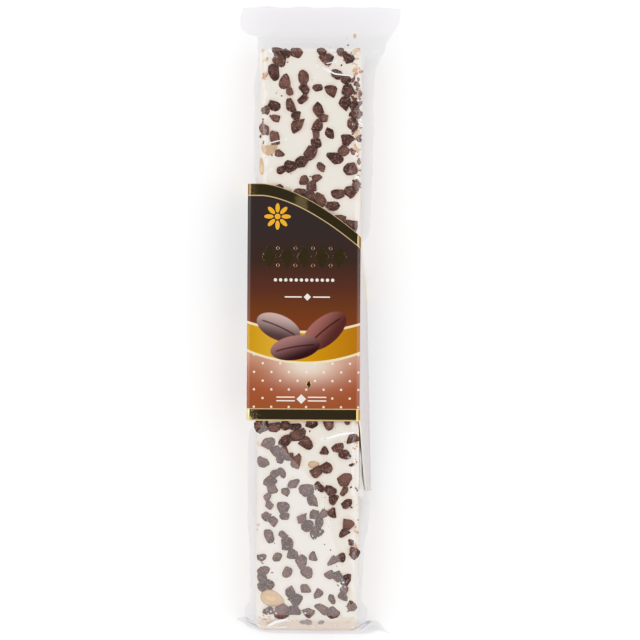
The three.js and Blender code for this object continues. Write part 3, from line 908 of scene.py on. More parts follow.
crumbFinish = {
    "toast": [(0.38, (0.40, 0.18, 0.12, 1)), (0.5, (0.60, 0.35, 0.22, 1)), (0.62, (0.72, 0.54, 0.38, 1))],
    "grain": (5, 0.3, 0.5), "bump": (0.5, 0.0003),
}


def makeCrumbMaterial():
    material, tree, shader = newMaterial("toastedCrumb", Roughness=0.55)
    grain = addGrain(tree, *crumbFinish["grain"])
    feed(ramp(grain["Cloud"], crumbFinish["toast"]), shader.inputs["Base Color"])
    addBump(shader, grain["Height"], *crumbFinish["bump"])
    return material


for stretches, name, seed, material, slotName in (
        (nutCrumbs, "nutCrumbs", 911, makeCrumbMaterial(), "almond"),
        (chocolateCrumbs, "chocolateCrumbs", 4242, chocolateMaterial, "chocolate")):
    crumbs = makeCrumbs(stretches, name, seed)
    crumbs.data.materials.append(material)
    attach(crumbs, "root")


# The film bag: rows of points round the bag, from the upper seal's free edge to the lower one's
film = {
    "top": 17.2, "underside": 0.75, "corner": 3.2, "bulgeShare": 0.3, "squareness": 2.6,
    "barHalfWidth": 17.5, "sideWidth": 0.5, "cornerBack": 2.6, "backFrom": (14.5, 21), "backEnd": (-92, -100),
    "bodyTop": 95, "bodyFoot": -94, "endSlant": 5.4, "slant": (-74, -94),
    "sealStart": 100.2, "sealEnd": 109.5, "sealReach": 0.9, "sealThickness": 0.2,
    "sealLevel": 4.6, "sealRise": 3.6, "calm": 0.7, "sealWaves": [(0.35, 0.45, 0.3, 0), (0.2, 1.1, 0, 1)],
    "freeEdgeWave": (0.25, 0.5), "flatCorner": -20,
    "footHalfWidth": 21, "footSpread": 1.6, "footHeight": 2.6, "footRest": 1.25, "footWave": (0.1, 0.9),
    "footBack": 0.75, "footThickness": 0.65, "footRows": 14,
    # top y and z, underside y and z of the rows where the bag closes towards each seal
    "closing": [(100.0, 9.6, 100.0, 7.2), (99.2, 12.2, 99.2, 4.6), (98.3, 14.6, 98.3, 2.4),
                (97.4, 16.2, 97.4, 1.2), (96.4, 17.0, 96.4, 0.85), (95, 17.2, 95, 0.75)],
    "opening": [(-95.3, 17.0, -100.9, 0.85), (-96.3, 15.6, -101.3, 1.0), (-97.5, 12.6, -101.5, 1.25),
                (-98.9, 9.2, -101.6, 1.5), (-100.3, 5.6, -101.7, 1.8)],
    "left": [(109.5, -23.2), (106, -24.0), (103.2, -23.8), (101.2, -22.0), (100.2, -18.6),
             (98, -18.1), (91, -18.0), (83, -19.1), (56, -18.9), (49, -18.5), (0, -18.0),
             (-30.2, -17.5), (-33.5, -19.9), (-50, -20.5), (-66, -20.1), (-78, -19.3),
             (-90, -19.3), (-96, -20.9)],
    "right": [(109.5, 30.4), (105, 29.9), (101, 27.4), (98, 25.6), (95.5, 25.1), (91, 22.7),
              (87, 21.5), (60, 21.2), (40, 20.6), (33, 20.0), (29.6, 17.6), (10, 17.5),
              (-40, 18.0), (-54, 18.3), (-57, 21.0), (-66, 20.3), (-72, 19.2), (-90, 18.5),
              (-96, 20.2)],
    "sealFold": [(-23.7, -97.3), (-21, -96.9), (-18, -100.2), (-13, -101.6), (16, -101.7),
                 (19, -100.6), (21, -97.9), (24, -98.1), (27.8, -101.6)],
    "sealFreeEdge": [(-23.7, -98.2), (-19.5, -100.4), (-15, -101.9), (-8, -102.4), (19, -102.5),
                     (22, -102.1), (24.8, -101.3), (27.8, -102.3)],
    "topColumns": 84, "sideColumns": 26, "underColumns": 26, "rowSpacing": 0.5, "rowsBetween": 4,
}


# 0 at start and 1 at end, eased, for arrays of places
def rise(value, start, end):
    t = np.clip((value - start) / (end - start), 0, 1)
    return t * t * (3 - 2 * t)


def between(value, low, high, soft):
    return rise(value, low, low + soft) * rise(value, high, high - soft)


# Sine waves added up: height of each, its share of both places, and its start
def waves(first, second, rows):
    return sum(height * np.sin(a * first + b * second + start) for height, a, b, start in rows)


# Points round the bag, each with its share of the way from the underside to the top
def ringShape(left, right, corner):
    flatLeft = max(left + film["sideWidth"], -film["barHalfWidth"] + corner)
    flatRight = min(right - film["sideWidth"], film["barHalfWidth"] - corner)
    power = 2 / film["squareness"]
    bulge = film["bulgeShare"]
    angle = np.linspace(math.pi / 2, -math.pi / 2, film["sideColumns"] + 1)
    lift = np.sign(np.sin(angle)) * np.abs(np.sin(angle)) ** power
    side = bulge + np.where(lift > 0, 1 - bulge, bulge) * lift
    out = np.maximum(np.cos(angle), 0) ** power
    under = np.linspace(flatRight, flatLeft, film["underColumns"] + 1)[1:-1]
    over = np.linspace(flatLeft, flatRight, film["topColumns"] + 1)[1:]
    x = np.concatenate([flatRight + (right - flatRight) * out, under,
                        (flatLeft + (left - flatLeft) * out)[::-1], over])
    share = np.concatenate([side, np.zeros(len(under)), side[::-1], np.ones(len(over))])
    return x, share


def topSealRow(y):
    share = (film["sealEnd"] - y) / (film["sealEnd"] - film["sealStart"])
    x, high = ringShape(along(film["left"], y), along(film["right"], y), film["flatCorner"])
    height, turn = film["freeEdgeWave"]
    rowY = y + (1 - share) * (film["sealReach"] - height * np.sin(turn * x))
    z = (film["sealLevel"] + film["sealRise"] * share + film["sealThickness"] * (high - 0.5)
         + waves(x, y, film["sealWaves"]) * (1 - film["calm"] * share))
    return np.stack([x, rowY, z], 1)


def bodyRow(topY, topZ, underY, underZ):
    y = (topY + underY) / 2
    x, high = ringShape(along(film["left"], y), along(film["right"], y), film["corner"])
    back = film["cornerBack"] * rise(underY, *film["backEnd"]) * rise(np.abs(x), *film["backFrom"])
    rowY = underY + (topY - underY) * high + back
    return np.stack([x, rowY, underZ + (topZ - underZ) * high], 1)


def bottomSealRow(share):
    wide = smoothStep(film["footSpread"] * share)
    left = mix(-film["footHalfWidth"], film["sealFold"][0][0], wide)
    right = mix(film["footHalfWidth"], film["sealFold"][-1][0], wide)
    x, high = ringShape(left, right, film["flatCorner"])
    fold = np.array([along(film["sealFold"], place) for place in x])
    free = np.array([along(film["sealFreeEdge"], place) for place in x])
    thick = film["sealThickness"] * (high - 0.5)
    height, turn = film["footWave"]
    y = fold + (free - fold) * share * share - film["footBack"] * thick
    z = mix(film["footHeight"], film["footRest"], math.sin(share * math.pi / 2))
    return np.stack([x, y, z + height * np.sin(turn * x) * share + film["footThickness"] * thick], 1)


def makeFilmRows():
    spacing = film["rowSpacing"]
    rows = [topSealRow(y) for y in np.arange(film["sealEnd"], film["sealStart"] + spacing, -spacing)]

    def close(row):
        last, count = rows[-1], film["rowsBetween"]
        rows.extend(last + (row - last) * (i / count) for i in range(1, count))
        rows.append(row)

    for values in film["closing"]:
        close(bodyRow(*values))
    for y in np.arange(film["bodyTop"] - spacing, film["bodyFoot"] - spacing / 2, -spacing):
        under = y - film["endSlant"] * rise(y, *film["slant"])
        rows.append(bodyRow(y, film["top"], under, film["underside"]))
    for values in film["opening"]:
        close(bodyRow(*values))
    close(bottomSealRow(0))
    rows += [bottomSealRow(i / film["footRows"]) for i in range(1, film["footRows"] + 1)]
    return np.array(rows)


# How the film drapes, in millimetres. A pair runs from nothing to full, and three are from, to and how soft
drape = {
    "overBar": (15.2, 17.1), "barEnds": (-96.3, 96.5, 2), "cardCover": (-33, 53, 3),
    "lift": 0.55, "restLift": 0.27, "rest": (1.4, 4.2), "overTop": 0.3,
    # ridges that part the taut film into flat fields: direction in degrees, length, height, start
    "ridges": [(24, 17.0, 0.065, 0.15), (97, 23.0, 0.075, 0.4), (152, 13.0, 0.04, 0.7)],
    "pulled": 0.7, "pulledBelow": (-34, -42), "pulledLeftOf": (13, 10),
    "shoulder": (11, 14.5), "ripples": [(0.1, 0.83, 0.7, 0), (0.07, 1.61, -1.1, 2)],
    "footEnd": (-95.6, -96.4), "footHeight": (4, 7), "footShare": 0.8,
    "sway": 0.3, "swayTurn": 0.55, "swayBend": 1.4, "swayBendTurn": 0.23,
    "looseFrom": (15.5, 18.5), "looseAbove": (1.2, 4.2), "looseEnds": (-99, 100, 4),
    "wrinkles": [(0.5, 0.42, 0.5, 0), (0.3, 0.93, -0.8, 1.3)], "sideWrinkle": (0.2, 1.7, 0.3),
    "wrinkleReach": 0.35, "besideCard": (-58, 54, 4), "wrinkleBesideCard": 0.25,
    "tabFrom": (16, 17.5), "tabRows": (-57, -37, 4), "tabReach": (0.35, 0.9), "tabTaper": (-40, -52),
    "squeezedFrom": (16.9, 17.5), "squeezedAbove": (7, 10), "squeezedTop": (-34, -36),
    "squeezedFoot": (-57, -54), "squeezedWhite": 0.6,
    "upperPressed": (99.6, 101.1), "lowerPressed": (-100.4, -101.6),
}
# Creases, each with a painted highlight along it: the bends of each, its height and its half width
foldLines = [
    ([(2.7, 89.7), (8.1, 87.0), (15.4, 86.2)], 0.4, 0.42), ([(4.8, 90.4), (9.4, 91.2)], 0.3, 0.28),
    ([(-15.2, 98.0), (-13.8, 95.2), (-12.0, 92.7)], 0.45, 0.4), ([(-14.4, 63.4), (-8.6, 64.9)], 0.3, 0.28),
    ([(5.2, -36.0), (10.8, -34.2), (16.4, -33.5)], 0.45, 0.75), ([(9.8, 49.2), (16.8, 50.6)], 0.35, 0.45),
    ([(-13.9, -99.7), (-10.4, -97.6), (-5.8, -96.2)], 0.5, 0.95),
    ([(-15.2, -101.1), (-6.0, -99.6)], 0.3, 0.4),
]
# how wide a crease's foot is, how thin its ends get, how far its place is kept and where that fades
creaseValues = {"foot": 0.4, "thinnest": 0.04, "reach": 2.0, "fade": 0.8, "ends": 0.125, "farAway": 9.0}
# Patches of finely crumpled film: middle, reach and height
crinkles = [(1.2, -68.6, 1.9, 0.2), (2.9, -69.4, 1.7, 0.2), (4.6, -66.6, 1.6, 0.18), (6.7, -63.4, 1.8, 0.16),
            (-16.2, -76.5, 2.2, 0.16), (7.6, 94.6, 3.0, 0.13), (15.0, 93.6, 2.6, 0.14),
            (15.6, 52.8, 2.6, 0.15), (16.0, 71.0, 4.0, 0.13), (14.6, -42.0, 3.0, 0.12),
            (-12.0, -95.0, 4.0, 0.13), (-0.8, -95.2, 3.0, 0.15), (12.0, -84.5, 3.0, 0.12),
            (2.6, -52.5, 2.4, 0.10), (2.0, -100.2, 3.4, 0.12), (9.0, -100.2, 3.0, 0.12)]
crinkleWaves = [(1, 4.3, 2.1, 0), (1, -3.1, 4.4, 1), (1, 5.3, -1.7, 2), (1, 1.9, 5.6, 4)]
crinkleWhite = (0.8, 2.0)


# The taut film breaks into flat fields, but is pulled nearly flat over the lower left of the bar
def facetHeights(x, y):
    heights = np.zeros_like(x)
    for degrees, span, height, start in drape["ridges"]:
        turn = math.radians(degrees)
        place = (x * math.cos(turn) + y * math.sin(turn)) / span + start
        heights += height * (np.abs((place % 1) * 2 - 1) - 0.5) * 2
    pulled = drape["pulled"] * rise(y, *drape["pulledBelow"]) * rise(x, *drape["pulledLeftOf"])
    return heights * (1 - pulled)


# Height of the creases, on which side of one a place lies, in half widths, and how much it shows
def creaseFields(x, y):
    heights = np.zeros_like(x)
    creaseSide = np.full_like(x, creaseValues["farAway"])
    shown = np.zeros_like(x)
    for path, height, half in foldLines:
        steps = [math.dist(start, end) for start, end in zip(path, path[1:])]
        gone = 0
        for (ax, ay), (bx, by), step in zip(path, path[1:], steps):
            dx, dy = (bx - ax) / step, (by - ay) / step
            t = np.clip((x - ax) * dx + (y - ay) * dy, 0, step)
            away = np.hypot(x - ax - t * dx, y - ay - t * dy)
            side = np.where((x - ax) * dy - (y - ay) * dx < 0, -away, away)
            share = (gone + t) / sum(steps)
            width = half * np.sqrt(np.clip(4 * share * (1 - share), creaseValues["thinnest"], 1))
            heights = np.maximum(heights, height * np.clip(1 - away / (half + creaseValues["foot"]), 0, 1))
            nearest = away / width < np.abs(creaseSide)
            creaseSide = np.where(nearest, side / width, creaseSide)
            fading = (rise(np.minimum(share, 1 - share), 0, creaseValues["ends"])
                      * rise(away, creaseValues["reach"], creaseValues["reach"] - creaseValues["fade"]))
            shown = np.where(nearest, fading, shown)
            gone += step
    return heights, creaseSide, shown


# Height of the crumpled patches and how white they are painted, as glints
def crinkleFields(x, y):
    crumple = waves(x, y, crinkleWaves)
    heights, white = np.zeros_like(x), np.zeros_like(x)
    for middleX, middleY, reach, height in crinkles:
        near = 1 - rise(np.hypot(x - middleX, y - middleY) / reach, 0, 1)
        heights += height * crumple * near
        white = np.maximum(white, rise(crumple, *crinkleWhite) * near)
    return heights, white


# Over the bar the film lies on the chips and sags a little between them, and its sides are loose.
# Gives the points and what the film's finish reads
def drapeFilm(points):
    x, y, z = points[..., 0], points[..., 1], points[..., 2]
    onTop = rise(z, *drape["overBar"]) * between(y, *drape["barEnds"])
    outside = 1 - between(y, *drape["cardCover"])
    rest = np.zeros_like(x)
    for chip in chips:
        away = np.hypot(x - chip["x"], y - chip["y"]) / chip["size"]
        rest = np.maximum(rest, 1 - rise(away, *drape["rest"]))
    creases, creaseSide, creased = creaseFields(x, y)
    crumpled, crinkled = crinkleFields(x, y)
    creases = creases + crumpled
    shoulder = rise(np.abs(x), *drape["shoulder"])
    relief = facetHeights(x, y) + creases + shoulder * waves(y, x, drape["ripples"])
    z = z + onTop * (drape["lift"] + drape["restLift"] * rest + outside * relief)
    atFoot = rise(y, *drape["footEnd"]) * rise(z, *drape["footHeight"])
    y = y - atFoot * creases * drape["footShare"]
    z = np.where(onTop > 0.99, np.maximum(z, film["top"] + drape["overTop"]), z)

    side = np.sign(x)
    sway = np.sin(drape["swayTurn"] * y + drape["swayBend"] * np.sin(drape["swayBendTurn"] * y))
    x = x + side * shoulder * onTop * outside * drape["sway"] * (0.5 + 0.5 * sway)
    loose = (rise(np.abs(x), *drape["looseFrom"]) * rise(z, *drape["looseAbove"])
             * between(y, *drape["looseEnds"]))
    wrinkle = waves(y, z, drape["wrinkles"] + [(*drape["sideWrinkle"], side)])
    bareSide = mix(drape["wrinkleBesideCard"], 1, 1 - between(y, *drape["besideCard"]))
    x = x + side * drape["wrinkleReach"] * wrinkle * loose * bareSide
    # Film that is squeezed between the bar and the card's tab is pushed out and folded, and painted white, as
    # light over the shaded gap beside the tab
    tabStart, tabEnd = drape["tabTaper"]
    pushed = mix(*drape["tabReach"], np.clip((y - tabStart) / (tabEnd - tabStart), 0, 1))
    x = x + rise(x, *drape["tabFrom"]) * between(y, *drape["tabRows"]) * pushed
    squeezed = (rise(x, *drape["squeezedFrom"]) * rise(z, *drape["squeezedAbove"])
                * rise(y, *drape["squeezedTop"]) * rise(y, *drape["squeezedFoot"]))

    shown = np.maximum(onTop * outside, atFoot)
    pressed = np.maximum(rise(y, *drape["upperPressed"]), rise(y, *drape["lowerPressed"]))
    return np.stack([x, y, z], -1), {
        "pressed": pressed, "crease": creased * shown, "creaseSide": creaseSide,
        "crinkle": np.maximum(crinkled * shown, drape["squeezedWhite"] * squeezed)}


filmFinish = {
    "mirror": 0.045, "grazing": 0.8, "roughness": 0.04, "color": (0.93, 0.935, 0.955, 1),
    "tint": (0.90, 0.902, 0.91, 1), "sealTint": (0.925, 0.917, 0.927, 1),
    "whiteShare": 0.85, "whiteRoughness": 0.4, "creaseEdge": (1, 0.15), "most": 0.9,
    "bagHaze": 0.01, "seamHaze": 0.12, "grain": (14, 1.6, 0.3), "bump": (0.06, 0.0006),
}
# The painted veil's edge falls from a place and then leans along the bar, in metres in the frame
paintedVeil = {"share": 0.1, "x": -0.0102, "y": -0.0434, "fall": 50, "right": 0.0022, "from": -0.06, "lean": 0.278,
         "top": -0.0347, "soft": 0.0003, "wander": 0.004, "height": 0.0155,
         "foot": -0.0988, "footHeight": 0.004}


# Over the lower left of the bar, and over its slanted foot, the film carries a painted reflection: a white
# diffuse veil in place of a mirrored softbox
def paintedVeilMask(tree, cloud):
    place = split(coordinates(tree, "Object"))
    fall = math.radians(paintedVeil["fall"])
    below = add(mul(place["X"], -math.sin(fall)), mul(place["Y"], -math.cos(fall)))
    leaning = add(place["X"], mul(place["Y"], paintedVeil["lean"]))
    wander = mul(sub(cloud, 0.5), paintedVeil["wander"])
    overFoot = mul(calc("LESS_THAN", place["Y"], paintedVeil["foot"]),
                   calc("GREATER_THAN", place["Z"], paintedVeil["footHeight"]))
    mask = either(calc("GREATER_THAN", place["Z"], paintedVeil["height"]), overFoot)
    for edge in (add(below, paintedVeil["x"] * math.sin(fall) + paintedVeil["y"] * math.cos(fall)),
                 sub(paintedVeil["right"] + paintedVeil["from"] * paintedVeil["lean"], leaning),
                 sub(paintedVeil["top"], place["Y"])):
        mask = mul(mask, ease(add(edge, wander), -paintedVeil["soft"], paintedVeil["soft"]))
    return mask


def makeFilmMaterial(name, haze):
    material, tree, shader = newMaterial(name, Base_Color=filmFinish["color"], Metallic=1.0,
                                         Roughness=filmFinish["roughness"])
    clear = tree.nodes.new("ShaderNodeBsdfTransparent")
    feed(mixColor(field(tree, "pressed"), filmFinish["tint"], filmFinish["sealTint"]), clear.inputs["Color"])
    # Both faces of a thin film mirror, the same from inside and outside
    facing = tree.nodes.new("ShaderNodeLayerWeight")
    facing.inputs["Blend"].default_value = 0.5
    grazing = mul(calc("POWER", facing.outputs["Facing"], 5), filmFinish["grazing"])
    grain = addGrain(tree, *filmFinish["grain"])
    share = add(add(filmFinish["mirror"], grazing), mul(grain["Cloud"], haze * 2))
    # Creases and crumpled patches are painted white and diffuse: painted highlights in place of the lamps'
    # glints
    line = mul(field(tree, "crease"), ease(absolute(field(tree, "creaseSide")), *filmFinish["creaseEdge"]))
    white = either(line, field(tree, "crinkle"))
    # Painted reflection: the veil turns the film white and diffuse
    veilMask = paintedVeilMask(tree, grain["Cloud"])
    share = either(share, mul(white, filmFinish["whiteShare"]), mul(veilMask, paintedVeil["share"]))
    white = either(white, veilMask)
    feed(sub(1, white), shader.inputs["Metallic"])
    rough = either(mul(white, filmFinish["whiteRoughness"]), filmFinish["roughness"])
    feed(rough, shader.inputs["Roughness"])
    addBump(shader, grain["Height"], *filmFinish["bump"])
    blend = tree.nodes.new("ShaderNodeMixShader")
    for source, socket in zip((calc("MINIMUM", share, filmFinish["most"]), clear.outputs[0],
                               shader.outputs[0]), blend.inputs):
        feed(source, socket)
    feed(blend.outputs[0], tree.nodes["Material Output"].inputs["Surface"])
    return material


filmPoints, filmFields = drapeFilm(makeFilmRows())
filmBag = sheetFrom(filmPoints, "filmBag")
for name, values in filmFields.items():
    setField(filmBag, name, values)
closeSheet(filmBag, fill=True)
smoothed(filmBag)
filmBag.data.materials.append(makeFilmMaterial("clearFilm", filmFinish["bagHaze"]))
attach(filmBag, "root")
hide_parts("clear_bag")
print("film bag:", len(filmBag.data.polygons), "faces")

# The seam along the back lies flat against the bag
backSeam = {"x": -1.5, "width": 9.0, "from": -97.0, "to": 95.0, "height": 0.6, "thickness": 0.05,
            "rows": 196, "columns": 13, "waves": [(0.04, 0, 1.9, 0), (0.02, 2, 0.3, 0)]}


def makeBackSeam():
    seamX, seamY = np.meshgrid(
        np.linspace(-0.5, 0.5, backSeam["columns"]) * backSeam["width"] + backSeam["x"],
        np.linspace(backSeam["from"], backSeam["to"], backSeam["rows"]))
    seamZ = backSeam["height"] + waves(seamX, seamY, backSeam["waves"])
    seam = sheetFrom(np.stack([seamX, seamY, seamZ], -1), "backSeam")
    wall = seam.modifiers.new("wall", "SOLIDIFY")
    wall.thickness = backSeam["thickness"] * mm
    bpy.ops.object.modifier_apply(modifier=wall.name)
    smoothed(seam, 40)
    return seam


seam = makeBackSeam()
seam.data.materials.append(makeFilmMaterial("seamFilm", filmFinish["seamHaze"]))
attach(seam, "root")


# The card sleeve: rings of points round the bag at each place along it
cardSteps = {"panels": [64, 30, 56, 24], "fold": 6, "rows": 44}


def sleeveCorners(y):
    backRight = sleeve["backShift"] + sleeve["backTwist"] * y
    high = sleeve["height"]
    return [Vector((sleeve["left"], high)), Vector((sleeve["right"], high)), Vector((backRight, 0)),
            Vector((backRight - sleeve["backWidth"], 0))]


def sleeveRing(y):
    corners = sleeveCorners(y)
    ring = []
    for i, (corner, panel) in enumerate(zip(corners, cardSteps["panels"])):
        nextCorner, after = corners[(i + 1) % 4], corners[(i + 2) % 4]
        step = (nextCorner - corner).normalized() * sleeve["foldReach"]
        start, end = corner + step, nextCorner - step
        leave = nextCorner + (after - nextCorner).normalized() * sleeve["foldReach"]
        ring += [start.lerp(end, k / panel) for k in range(panel)]
        for k in range(cardSteps["fold"]):
            t = k / cardSteps["fold"]
            ring.append(end * (1 - t) ** 2 + nextCorner * 2 * t * (1 - t) + leave * t * t)
    return ring


def makeLabelSleeve():
    reference = sleeveRing(0)
    distances = [sleeve["foldReach"]]
    for before, after in zip(reference, reference[1:]):
        distances.append(distances[-1] + (after - before).length)
    perimeter = distances[-1] + (reference[0] - reference[-1]).length - sleeve["foldReach"]
    leftWall = sum(cardSteps["panels"][:3]) + 3 * cardSteps["fold"]
    order = list(range(leftWall, len(reference))) + list(range(leftWall)) + [leftWall]
    points, places, edges = [], [], []
    for row in range(cardSteps["rows"] + 1):
        for column, i in enumerate(order):
            distance = min(distances[i], backLength)
            low, high = lowerEdge(distance), upperEdge(distance)
            y = mix(low, high, row / cardSteps["rows"])
            point = sleeveRing(y)[i]
            points.append((point.x, y, point.y))
            onLeftWall = i >= leftWall and column < len(order) - 1
            places.append((distances[i] - perimeter if onLeftWall else distances[i], y))
            edges.append((high - y, y - low))
    made = sheetFrom(np.array(points).reshape(cardSteps["rows"] + 1, len(order), 3), "labelSleeve")
    for layerName, values in (("card", places), ("border", edges)):
        layer = made.data.uv_layers.new(name=layerName)
        for loop in made.data.loops:
            layer.data[loop.index].uv = values[loop.vertex_index]
    closeSheet(made)
    made.data.materials.append(makePrintMaterial())
    made.data.materials.append(makeCardMaterial())
    # The inner face and the cut edges are bare card
    wall = made.modifiers.new("cardWall", "SOLIDIFY")
    wall.thickness = sleeve["thickness"] * mm
    wall.offset = -1
    wall.material_offset = 1
    wall.material_offset_rim = 1
    bpy.ops.object.modifier_apply(modifier=wall.name)
    smoothed(made, 40)
    return made


# Print. u runs along the card from the left front fold, v along the pack, both in millimetres
inks = {
    "upper": [(3, (127, 70, 48)), (8, (114, 68, 47)), (14, (98, 61, 51)), (24, (71, 56, 52)),
              (34, (65, 57, 56))],
    "lower": [(-27, (157, 90, 60)), (-19, (166, 90, 60)), (-13, (174, 106, 76)), (-8, (196, 146, 122))],
    "band": [(0, (200, 152, 36)), (10, (218, 172, 62)), (20, (206, 152, 40)), (38, (182, 120, 10))],
    "glow": (246, 232, 216), "cream": (249, 226, 190), "dots": (250, 238, 224), "words": (250, 244, 236),
    "groove": (70, 38, 36), "yellow": (246, 178, 52), "line": (240, 214, 160), "paintedGlare": (226, 204, 140),
    "foldSheen": (200, 190, 180), "pale": (198, 187, 192), "paleWarm": (207, 197, 190), "rule": (150, 140, 140),
}
foils = {"flat": (0.80, 0.58, 0.26, 1), "fold": (0.17, 0.11, 0.05, 1), "end": (0.55, 0.41, 0.20, 1),
         "right": (0.30, 0.21, 0.09, 1)}
lightOnCard = 1.42  # how bright a white sheet lying on the table comes out
glossOnCard = 0.02  # light that the gloss of the print adds


# Ink that comes out as the given colour, in parts of 255, under these lamps
def ink(red, green, blue):
    shares = [part / 255 for part in (red, green, blue)]
    linear = [share / 12.92 if share <= 0.04045 else ((share + 0.055) / 1.055) ** 2.4 for share in shares]
    return tuple(max(part - glossOnCard, 0.002) / lightOnCard for part in linear) + (1,)


def inkRamp(place, stops):
    return ramp(place, [(stop, ink(*color)) for stop, color in stops])


def printOver(mask, strength, under, name):
    return mixColor(mul(mask, strength), under, ink(*inks[name]))


# Place within a step that repeats, from the middle of the step
def repeated(value, step):
    return sub(calc("FLOORED_MODULO", value, step), step / 2)


# Where each thing stands on the front, in millimetres
printPlan = {
    "glow": (21, -11.0), "glowReach": (11, 6.0), "dotStep": 5.86, "dotEdge": (0.48, 0.28),
    "lattices": [(2.65, -7.5), (5.58, -10.43)], "dotFreeU": (8.6, 28.6), "dotFreeV": (-24.4, -20.4),
    "bandMiddle": 20, "bandHalf": 20, "bandTop": 3.5, "topSag": 3.3, "bandFoot": -6.1, "footSag": 4.1,
    "topLine": (-0.45, 0.35), "footLine": (-0.4, 0.4), "bandSoft": 0.1,
    "beadStep": 1.75, "beadV": 17.6, "beadEdge": (0.62, 0.46), "beadsU": (8.8, 29.7),
    # rules to both sides of a bead: its place and reach, how far up and along the rules lie from it
    "rules": [(20.4, 11.9, 1.2, (-1, 0.2), (1.9, 7.6)), (18.6, -22.4, 1.6, (0.42, 0.8), (2.2, 8.4))],
    "frontEnd": (38.5, 38.2), "backRuleStep": 2.4, "backRule": (-0.14, 0.14), "backRulesU": (63, 88),
    "backRulesTop": (14, 36),
    # beans: middle, turn, half length, half width, dark flank, lit flank
    "beans": [(26.2, 0.4, 40, 8.8, 4.6, (92, 54, 52), (168, 110, 102)),
              (10.8, 1.6, -24, 7.8, 4.2, (90, 66, 68), (206, 178, 172)),
              (16.4, -5.2, 10, 8.4, 4.1, (64, 42, 46), (172, 126, 122))],
}


# Cream dots on two crossed lattices, with none behind the rules at the foot
def dotMask(u, v):
    step = printPlan["dotStep"]
    lattices = []
    for startU, startV in printPlan["lattices"]:
        reach = lengthOf(repeated(sub(u, startU - step / 2), step), repeated(sub(v, startV - step / 2), step))
        lattices.append(ease(reach, *printPlan["dotEdge"]))
    free = both(within(u, *printPlan["dotFreeU"]), within(v, *printPlan["dotFreeV"]))
    return mul(either(*lattices), sub(1, free))


# The dark upper field and the dotted lower one, parted by a yellow band that dips between cream lines
def printFields(u, v):
    (glowU, glowV), (reachU, reachV) = printPlan["glow"], printPlan["glowReach"]
    glowAway = lengthOf(calc("DIVIDE", sub(u, glowU), reachU), calc("DIVIDE", sub(v, glowV), reachV))
    glow = calc("EXPONENT", mul(mul(glowAway, glowAway), -1))
    lower = printOver(glow, 0.85, inkRamp(v, inks["lower"]), "glow")
    lower = printOver(dotMask(u, v), 0.92, lower, "dots")
    fromMiddle = calc("DIVIDE", sub(u, printPlan["bandMiddle"]), printPlan["bandHalf"])
    sag = either(sub(1, mul(fromMiddle, fromMiddle)), 0)
    overTop = sub(v, sub(printPlan["bandTop"], mul(sag, printPlan["topSag"])))
    overFoot = sub(v, sub(printPlan["bandFoot"], mul(sag, printPlan["footSag"])))
    soft = printPlan["bandSoft"]
    front = mixColor(ease(overTop, -soft, soft), inkRamp(u, inks["band"]), inkRamp(v, inks["upper"]))
    front = mixColor(ease(overFoot, soft, -soft), front, lower)
    lines = either(within(overTop, *printPlan["topLine"]), within(overFoot, *printPlan["footLine"]))
    return printOver(lines, 0.95, front, "cream")


beanPrint = {"edge": (1.03, 0.97), "litAcross": 0.6, "litAlong": -0.25, "lit": (-0.5, 0.75),
             "bend": 0.18, "groove": (0.1, 0.03), "grooveEnd": (0.86, 0.7)}


# A printed cocoa bean: an oval with a groove and a lit flank
def makeBeanGroup():
    group, start, end = newGroup("printedBean", ("U", "V", "Middle U", "Middle V", "Cosine", "Sine",
                                                 "Length", "Width"), ("Mask", "Light", "Groove"))
    du, dv = sub(start["U"], start["Middle U"]), sub(start["V"], start["Middle V"])
    long = calc("DIVIDE", add(mul(du, start["Cosine"]), mul(dv, start["Sine"])), start["Length"])
    wide = calc("DIVIDE", sub(mul(dv, start["Cosine"]), mul(du, start["Sine"])), start["Width"])
    lit = add(mul(wide, beanPrint["litAcross"]), mul(long, beanPrint["litAlong"]))
    bend = mul(sub(mul(long, long), 0.5), beanPrint["bend"])
    groove = ease(absolute(add(wide, bend)), *beanPrint["groove"])
    feed(ease(lengthOf(long, wide), *beanPrint["edge"]), end["Mask"])
    feed(ease(lit, *beanPrint["lit"]), end["Light"])
    feed(mul(groove, ease(absolute(long), *beanPrint["grooveEnd"])), end["Groove"])
    return group


def printBeans(u, v, front):
    group = makeBeanGroup()
    for middleU, middleV, degrees, long, wide, flank, litFlank in printPlan["beans"]:
        turn = math.radians(degrees)
        bean = useGroup(u.id_data, group, {
            "U": u, "V": v, "Middle U": middleU, "Middle V": middleV, "Length": long, "Width": wide,
            "Cosine": math.cos(turn), "Sine": math.sin(turn)})
        color = mixColor(bean["Light"], ink(*flank), ink(*litFlank))
        color = printOver(bean["Groove"], 0.8, color, "groove")
        front = mixColor(bean["Mask"], front, color)
    return front


# Plain rules and beads where a pack has its words
def printWords(u, v, front):
    bead = lengthOf(repeated(u, printPlan["beadStep"]), sub(v, printPlan["beadV"]))
    words = [both(ease(bead, *printPlan["beadEdge"]), within(u, *printPlan["beadsU"]))]
    for middleU, middleV, reach, up, aside in printPlan["rules"]:
        fromU, fromV = absolute(sub(u, middleU)), absolute(sub(v, middleV))
        words += [both(within(fromV, *up), within(fromU, *aside)),
                  ease(add(fromU, fromV), reach + 0.1, reach - 0.1)]
    return printOver(either(*words), 0.95, front, "words")


# The side and back panels are pale, with a few plain rules
def printPale(u, v, fromTop, grain):
    pale = mixColor(grain["Cloud"], ink(*inks["pale"]), ink(*inks["paleWarm"]))
    rules = both(within(repeated(v, printPlan["backRuleStep"]), *printPlan["backRule"]),
                 within(u, *printPlan["backRulesU"]), within(fromTop, *printPlan["backRulesTop"]))
    return printOver(rules, 0.6, pale, "rule")


